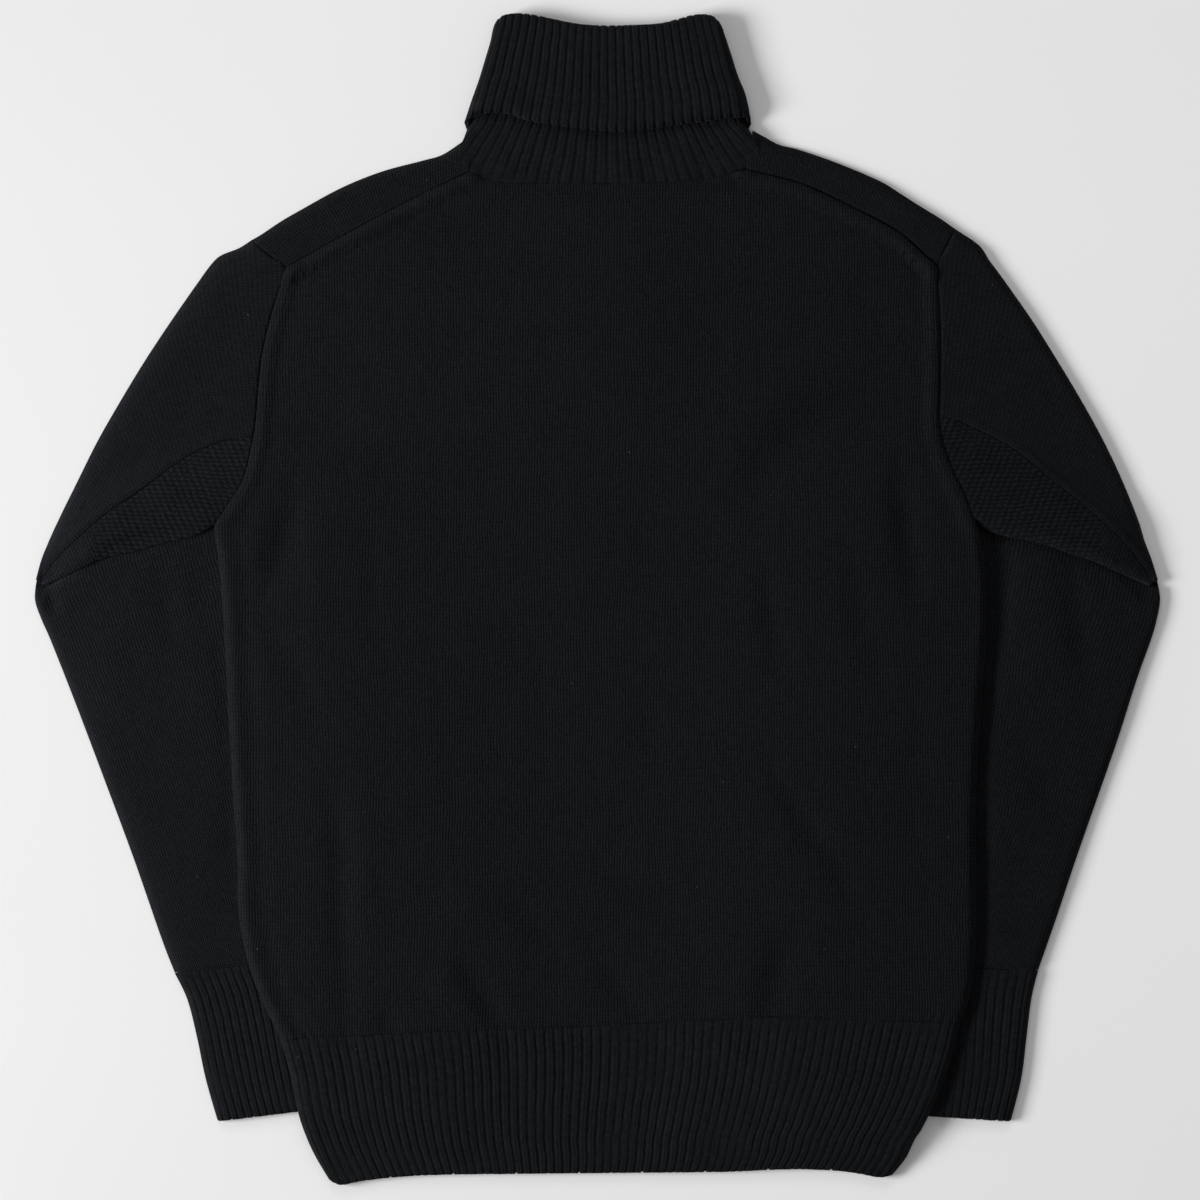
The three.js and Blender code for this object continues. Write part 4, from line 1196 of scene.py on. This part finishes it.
def upper_plan(side):
    outer, fold = curve_of(side["upper_outer"]), curve_of(side["fold"])
    armhole = curve_of(armhole_line(side))

    def plan(along, across):
        """along has one value a row, across one a point."""
        t = across[..., None]
        chord = lerp(outer(START)[:, None], fold(START)[:, None], t)
        bow = (armhole(across) - chord) * ((1 - along) ** 1.5)[:, None, None]
        return lerp(outer(along)[:, None], fold(along)[:, None], t) + bow

    return plan


def spans(side):
    """Row by row: an upper sleeve's width, and the shares of its rolled edge and its gusset's seam."""
    shares = np.tile(np.linspace(0, 1, 24), (len(SLEEVE_ROWS), 1))
    whole = widths(upper_plan(side)(SLEEVE_ROWS, shares))[:, None]
    seam = read(smooth_rows(side["gusset"]), SLEEVE_ROWS)[:, None]
    return whole, np.minimum(ROLL, MOST_ROLL * whole) / whole, seam


def sleeve_stitches(side, x, y):
    dx, dy = side["sign"] * x - RING_CENTRE[0], y - RING_CENTRE[1]
    return np.hypot(dx, dy) / SLEEVE_WALE, np.arctan2(dx, dy) * RING_REACH / COURSE


def gusset_stitches(side, x, y):
    (across_x, across_y), (along_x, along_y) = GUSSET_ACROSS, GUSSET_ALONG
    mirrored = side["sign"] * x
    u = (mirrored * across_x + y * across_y) / GUSSET_WALE
    return u, (mirrored * along_x + y * along_y) / GUSSET_COURSE


def sleeve_section(side, parts, stitches, relief=None):
    """A grid over the upper sleeve's plan. Each part has an array of shares and a face.

    Without a relief it is the cloth's inner face.
    """
    plan, (whole, _, _) = upper_plan(side), spans(side)
    places, uvs = [], []
    for across, face in parts:
        x, y = np.moveaxis(plan(SLEEVE_ROWS, across), -1, 0)
        distance = np.minimum(across, 1 - across) * whole
        half = GAP / 2
        if relief:
            reach = np.where(across < 0.5, side["round"], EDGE_ROUND) if face > 0 else ROLL
            half = swell(distance, np.minimum(reach, MOST_ROLL * whole))
            half = half + relief(x, y, SLEEVE_ROWS[:, None], face) * ramp(distance / SOFT_FADE)
            half = np.where(distance < 0.02, 0, np.maximum(half, 0.05))
        z = TUBE / 2 + face * half - sink(distance, np.minimum(1, whole / 30))
        floor = np.maximum(lift(x, y), tip_room(x, y))
        places.append(np.dstack([x, y, floor + np.maximum(z, 0)]))
        uvs.append(np.dstack(stitches(side, x, y)))
    return np.concatenate(places, 1), np.concatenate(uvs, 1)


def sleeve_seams(side):
    """The armhole's and the gusset's seam on an upper sleeve."""
    _, _, seam = spans(side)
    gusset_seam = upper_plan(side)(SLEEVE_ROWS[::3], seam[::3])[:, 0]
    return smooth_rows(armhole_line(side), 40), gusset_seam


def section_piece(name, side, parts, inner_parts, stitches, relief, look):
    """An upper sleeve's or a gusset's wall of cloth, with its painted light and shade."""
    outer, uv = sleeve_section(side, parts, stitches, relief)
    inner, inner_uv = sleeve_section(side, inner_parts, stitches)
    r = few(len(SLEEVE_ROWS), 22)
    piece = wall(name, outer, uv, inner[r], inner_uv[r], False, look)
    paint_shading(piece, sleeve_painted_shading(side, *side["over_tint"]))
    return piece


def upper_sleeve(side, look):
    whole, first, seam = spans(side)
    armhole, gusset_seam = sleeve_seams(side)

    def relief(x, y, along, face):
        if face < 0:
            return 0 * x
        from_gusset = away(x, y, gusset_seam)
        soft = ripples(x, y, UPPER_RIPPLES) - creases(x, y, side["creases"])
        soft = soft + lines(from_gusset, GUSSET_LINES) - round_off(from_gusset, *SLEEVE_SEAM_ROUND)
        soft = soft - round_off(away(x, y, armhole), *ARMHOLE_ROUND) * seam_cut(side, y)
        return soft - tip_dip(along)

    t = np.linspace(0, 1, 70)[None]
    parts = [
        (lerp(seam, first, t), 1), (EDGE_STEPS[::-1] * first, 1), (0 * first, 0),
        (EDGE_STEPS * first, -1), (lerp(first, 1 - first, np.linspace(0, 1, 30)[None]), -1),
        (1 - EDGE_STEPS[::-1] * first, -1),
    ]
    near, lip = np.minimum(WALL, MOST_WALL * whole) / whole, 1 - LIP / whole
    s = np.linspace(0, 1, 6)[None]
    inner = [(lerp(near, seam, s[:, ::-1]), 1), (lerp(near, seam, s), -1), (lerp(seam, lip, s[:, 1:]), -1)]
    name = f"sleeve_{side['name']}_upper_knit"
    piece = section_piece(name, side, parts, inner, sleeve_stitches, relief, look)
    above = cut_of(upper_plan(side)(SLEEVE_ROWS, lerp(0 * first, seam, t)))
    below = cut_of(upper_plan(side)(SLEEVE_ROWS, t + 0 * seam))
    return piece, (above[0] + below[0], max(above[1], below[1]), above[2] + below[2])


def gusset(side, look):
    whole, first, seam = spans(side)
    armhole, gusset_seam = sleeve_seams(side)
    under_fold = smooth_rows(side["under_fold"], 40)

    def relief(x, y, along, face):
        from_gusset, from_fold = away(x, y, gusset_seam), away(x, y, under_fold)
        from_end = GUSSET_END - np.abs(x)
        u, v = gusset_stitches(side, x, y)
        knots = KNOT_ACROSS * np.cos(TURN * u)
        knots = knots + KNOT_ALONG * np.cos(TURN * (v + 0.5 * np.floor(u)))
        knots = knots * ramp(from_end / 6) * ramp(from_gusset / 3)
        in_band = y < read(under_fold, x)
        low = FOLD_STEP * np.where(in_band, ramp(from_fold / 3), 0) * ramp(from_end / 14)
        low = low - lines(from_fold, BAND_LINES) * ~in_band
        seams_cut = round_off(away(x, y, armhole), *ARMHOLE_ROUND) * seam_cut(side, y)
        seams_cut = seams_cut + round_off(from_gusset, *GUSSET_SEAM_ROUND)
        return ripples(x, y, GUSSET_RIPPLES) + knots - GUSSET_LOW - low - seams_cut - tip_dip(along)

    t = np.linspace(0, 1, 56)[None]
    parts = [(lerp(seam, 1 - first, t), 1), (1 - EDGE_STEPS[::-1] * first, 1), (1 + 0 * first, 1)]
    inner = [(lerp(seam, 1 - LIP / whole, np.linspace(0, 1, 6)[None]), 1)]
    name = f"gusset_{side['name']}_knit"
    piece = section_piece(name, side, parts, inner, gusset_stitches, relief, look[0])
    piece.data.materials.append(look[1])
    for face in piece.data.polygons:
        face.material_index = int(abs(face.center.x) > GUSSET_END * MM)
    return piece, cut_of(upper_plan(side)(SLEEVE_ROWS, lerp(seam, 1 + 0 * seam, t)))


class Value:
    """A value in a material, which maths nodes work on."""

    def __init__(self, nodes, socket):
        self.nodes, self.socket = nodes, socket

    def by(self, operation, *others):
        return self.nodes.math(operation, self, *others)

    def __add__(self, other):
        return self.by("ADD", other)

    def __sub__(self, other):
        return self.by("SUBTRACT", other)

    def __rsub__(self, other):
        return self.nodes.math("SUBTRACT", other, self)

    def __mul__(self, other):
        return self.by("MULTIPLY", other)


class Nodes:
    """A material's nodes."""

    def __init__(self, name):
        self.material = bpy.data.materials.new(name)
        self.material.use_nodes = True
        self.tree = self.material.node_tree

    def feed(self, node, inputs):
        """Links values to a node's inputs, or gives them plain numbers and colours."""
        for key, given in inputs.items():
            if isinstance(given, Value):
                self.tree.links.new(given.socket, node.inputs[key])
            else:
                node.inputs[key].default_value = given

    def value(self, kind, output=0, inputs=None, **settings):
        """One output of a new node, with these settings and inputs."""
        node = self.tree.nodes.new(f"ShaderNode{kind}")
        for key, setting in settings.items():
            setattr(node, key, setting)
        self.feed(node, inputs or {})
        return Value(self, node.outputs[output])

    def math(self, operation, *values):
        return self.value("Math", 0, dict(enumerate(values)), operation=operation)

    def noise(self, place, scale, detail=2.0):
        return self.value("TexNoise", "Fac", {"Vector": place, "Scale": scale, "Detail": detail})

    def axis(self, name, vector):
        return self.value("SeparateXYZ", name, {0: vector})

    def mix(self, share, a, b):
        """A colour between a and b, by a share that is kept between 0 and 1."""
        share = share.by("MAXIMUM", 0.0).by("MINIMUM", 1.0)
        return self.value("Mix", 2, {0: share, 6: a, 7: b}, data_type="RGBA")

    def finish(self, inputs):
        self.feed(self.tree.nodes["Principled BSDF"], inputs)
        return self.material


def from_middle(u):
    """How far a place lies from the middle of its wale or rib: 0 there and 1 at its sides."""
    return (u.by("FRACT") * 2 - 1).by("ABSOLUTE")


def wave(value):
    return (value * TURN).by("COSINE")


def stitch_height(u, v):
    """Plain knit: two legs a wale, which lean together at the foot of each stitch."""
    a = from_middle(u)
    leg = (a * math.pi).by("SINE").by("MAXIMUM", 0.0)
    return leg * (wave(v + a * 0.55) * 0.34 + 0.66) * (1.0 - a.by("POWER", 6.0) * 0.5)


def rib_height(u, v):
    """Ribs: two legs on each crest, and a plain low furrow between two ribs, which gets painted shade."""
    a = from_middle(u)
    crest = ((1.0 - a) * 2.0).by("MINIMUM", 1.0) * 0.72 + 0.1
    dent = 1.0 - (1.0 - a).by("POWER", 8.0) * 0.45
    return crest * dent * (wave(v + a * 0.8) * 0.16 + 0.84)


def purl_height(u, v):
    """The reversed stitch: short columns of knots, each wale half a stitch off the next."""
    leg = wave(u) * 0.28 + 0.72
    return leg * (wave(v + u.by("FLOOR") * 0.5) * 0.5 + 0.5)


def chance(x, y):
    """A fixed random number for each whole x and y."""
    both = x.nodes.value("CombineXYZ", 0, {0: x.by("FLOOR"), 1: y.by("FLOOR")})
    return x.nodes.value("TexWhiteNoise", "Value", {"Vector": both}, noise_dimensions="2D")


def swing(value, amount, middle=0.5):
    """A value turned into a swing of an amount around nothing."""
    return (value - middle) * amount


# Mean share of the lighter colour, and how much each single stitch, the nap and a slow unevenness
# change it. The stitches' own height paints shade into their hollows and light onto their crests, by each
# wool's amount.
SHADE = 0.42
SINGLE_SHADE = 0.24
NAP_SHADE = 0.62
SLOW_SHADE = 0.12

# How fine the nap, the slow unevenness and the yarn's wandering are, and how far it wanders
NAP_SCALE = 850
SLOW_SCALE = 40
WANDERS = ((120, 0.5), (16, 1.4))

# Specks of lint: cells a metre, and how rarely a cell has one
SPECK_CELLS = 1100
SPECK_RARITY = 0.99997

# The wool's darkest and lightest colour, between which its tone and its painted light and shade are mixed,
# the colour of lint, and the cloth's finish
WOOL_DARK = (0.0010, 0.0012, 0.0016, 1)
WOOL_LIGHT = (0.0088, 0.0098, 0.0119, 1)
LINT = (0.036, 0.036, 0.04, 1)
NAP_HEIGHT = 0.8
BUMP_DISTANCE = 0.0007
WOOL_FINISH = {
    "Roughness": 0.95, "Specular IOR Level": 0.1, "Sheen Weight": 0.03, "Sheen Roughness": 0.4,
    "Sheen Tint": (0.88, 0.88, 1.0, 1),
}


def wool(name, height, middle, stitch_painted_shade, bump):
    """Near-black wool: stitches, a fine nap, a slight uneven tone, and painted light and shade."""
    n = Nodes(name)
    uv, place = n.value("UVMap", uv_map="stitches"), n.value("TexCoord", "Object")
    fine, slow = (swing(n.noise(place, scale), amount) for scale, amount in WANDERS)
    wander = fine + slow
    u, v = n.axis("X", uv) + wander, n.axis("Y", uv) - wander
    stitch, nap = height(u, v), n.noise(place, NAP_SCALE, 3)
    # Painted light and shade kept with each point, then painted shade in the stitches' hollows and painted
    # light on their crests
    share = n.value("Attribute", "Fac", attribute_name="painted_shading") + SHADE
    share = share + swing(stitch, stitch_painted_shade, middle) + swing(chance(u * 2, v), SINGLE_SHADE)
    share = share + swing(nap, NAP_SHADE) + swing(n.noise(place, SLOW_SCALE, 3), SLOW_SHADE)
    cells = n.value("VectorMath", 0, {0: place, "Scale": SPECK_CELLS}, operation="SCALE")
    speck = chance(n.axis("X", cells), n.axis("Y", cells)).by("GREATER_THAN", SPECK_RARITY)
    relief = {"Strength": bump, "Distance": BUMP_DISTANCE, "Height": stitch + nap * NAP_HEIGHT}
    colour = n.mix(speck, n.mix(share, WOOL_DARK, WOOL_LIGHT), LINT)
    return n.finish({"Base Color": colour, "Normal": n.value("Bump", 0, relief), **WOOL_FINISH})


# Each wool's stitches, their mean height, how much their height paints shade and light into the colour, and
# the strength of their bump
WOOLS = {
    "plain_knit": (stitch_height, 0.38, 0.70, 0.6),
    "rib_knit": (rib_height, 0.54, 0.34, 0.5),
    "reversed_knit": (purl_height, 0.36, 0.95, 0.9),
}


def dress():
    """Each solid's cloth, its finish, and what it lies on."""
    plain_wool, ribbed_wool, knots = (wool(name, *look) for name, look in WOOLS.items())
    made = {
        "front_panel": (front_panel(plain_wool), "plain_knit", []),
        "back_panel": (back_panel(plain_wool), "plain_knit", ["front_panel"]),
        "hem_front": (hem(-1, ribbed_wool), "rib_knit", []),
        "hem_back": (hem(1, ribbed_wool), "rib_knit", ["hem_front"]),
        "collar_stand": (collar_stand(ribbed_wool), "rib_knit", []),
        "collar_roll": (collar_roll(ribbed_wool), "rib_knit", ["collar_stand"]),
    }
    for side in SIDES:
        name = side["name"]
        lower, upper = f"sleeve_{name}_lower", f"sleeve_{name}_upper"
        made[lower] = (lower_sleeve(side, plain_wool), "plain_knit", [])
        made[f"cuff_{name}"] = (cuff(side, ribbed_wool), "rib_knit", [])
        made[f"shoulder_{name}"] = (shoulder(side, plain_wool), "plain_knit", ["front_panel"])
        made[upper] = (upper_sleeve(side, plain_wool), "plain_knit", [lower])
        made[f"gusset_{name}"] = (gusset(side, (knots, plain_wool)), "reversed_knit", [upper])
    return made


FOLDED = {"collar_roll", "shoulder_left", "shoulder_right", "sleeve_left_upper", "sleeve_right_upper"}


def declare(made):
    """Each piece's place on the root body, with its solid hidden."""
    for node, ((piece, (width, length, area)), finish, under_it) in made.items():
        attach(piece, "root")
        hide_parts(node)
        held = "folded" if node in FOLDED else "laid"


# Painted shade on the paper, darker towards the window on the left: its colour at both ends of the
# slow change across the picture, and how far apart they are
FLOOR_PAINTED_SHADE_LEFT = (0.66, 0.66, 0.66, 1)
FLOOR_PAINTED_SHADE_RIGHT = (0.95, 0.95, 0.95, 1)
FLOOR_SPAN = 0.9

# The paper's size, how far it lies below the sweater, and its finish
FLOOR_SIZE = 8
FLOOR_BELOW = 0.0004
FLOOR_FINISH = {"Roughness": 0.9, "Specular IOR Level": 0.1}

# The world's even light, then each lamp's name, place, size and power
AMBIENT = 0.29
LIGHTS = [
    ("window", (-2.4, -0.25, 1.12), (1.2, 0.8), 105),
    ("far_window", (-0.3, 2.3, 1.5), (1.6, 0.8), 14),
]

# The camera's lens and sensor in millimetres, the width that it sees, and its place
LENS = 85
SENSOR = 36
SEEN = 0.84
CAMERA_PLACE = (0.00175, -0.00035, SEEN * LENS / SENSOR + 0.008)


def pale_floor():
    bpy.ops.mesh.primitive_plane_add(size=FLOOR_SIZE, location=(0, 0, -FLOOR_BELOW))
    floor = bpy.context.object
    floor.name = "pale_floor"
    n = Nodes("pale_floor")
    place = n.value("TexCoord", "Object")
    # Painted shade that darkens the paper towards the left, and a slight uneven tone
    share = n.axis("X", place).by("DIVIDE", FLOOR_SPAN) + 0.5 + swing(n.noise(place, 3), 0.1)
    colour = n.mix(share, FLOOR_PAINTED_SHADE_LEFT, FLOOR_PAINTED_SHADE_RIGHT)
    floor.data.materials.append(n.finish({"Base Color": colour, **FLOOR_FINISH}))


def light():
    world = bpy.data.worlds.new("studio")
    bpy.context.scene.world = world
    world.use_nodes = True
    background = world.node_tree.nodes["Background"]
    background.inputs[0].default_value = (1, 1, 1, 1)
    background.inputs[1].default_value = AMBIENT
    for name, place, size, power in LIGHTS:
        lamp = bpy.data.lights.new(name, "AREA")
        lamp.shape = "RECTANGLE"
        lamp.size, lamp.size_y = size
        lamp.energy = power
        hung = bpy.data.objects.new(name, lamp)
        bpy.context.scene.collection.objects.link(hung)
        hung.location = place
        hung.rotation_euler = (-Vector(place)).to_track_quat("-Z", "Y").to_euler()


def camera():
    """Straight above the sweater, its collar up in the picture."""
    lens = bpy.data.cameras.new("camera")
    lens.lens = LENS
    lens.sensor_width = SENSOR
    eye = bpy.data.objects.new("camera", lens)
    bpy.context.scene.collection.objects.link(eye)
    eye.location = CAMERA_PLACE
    bpy.context.scene.camera = eye


declare(dress())
pale_floor()
light()
camera()
bpy.context.scene.view_settings.view_transform = "Standard"
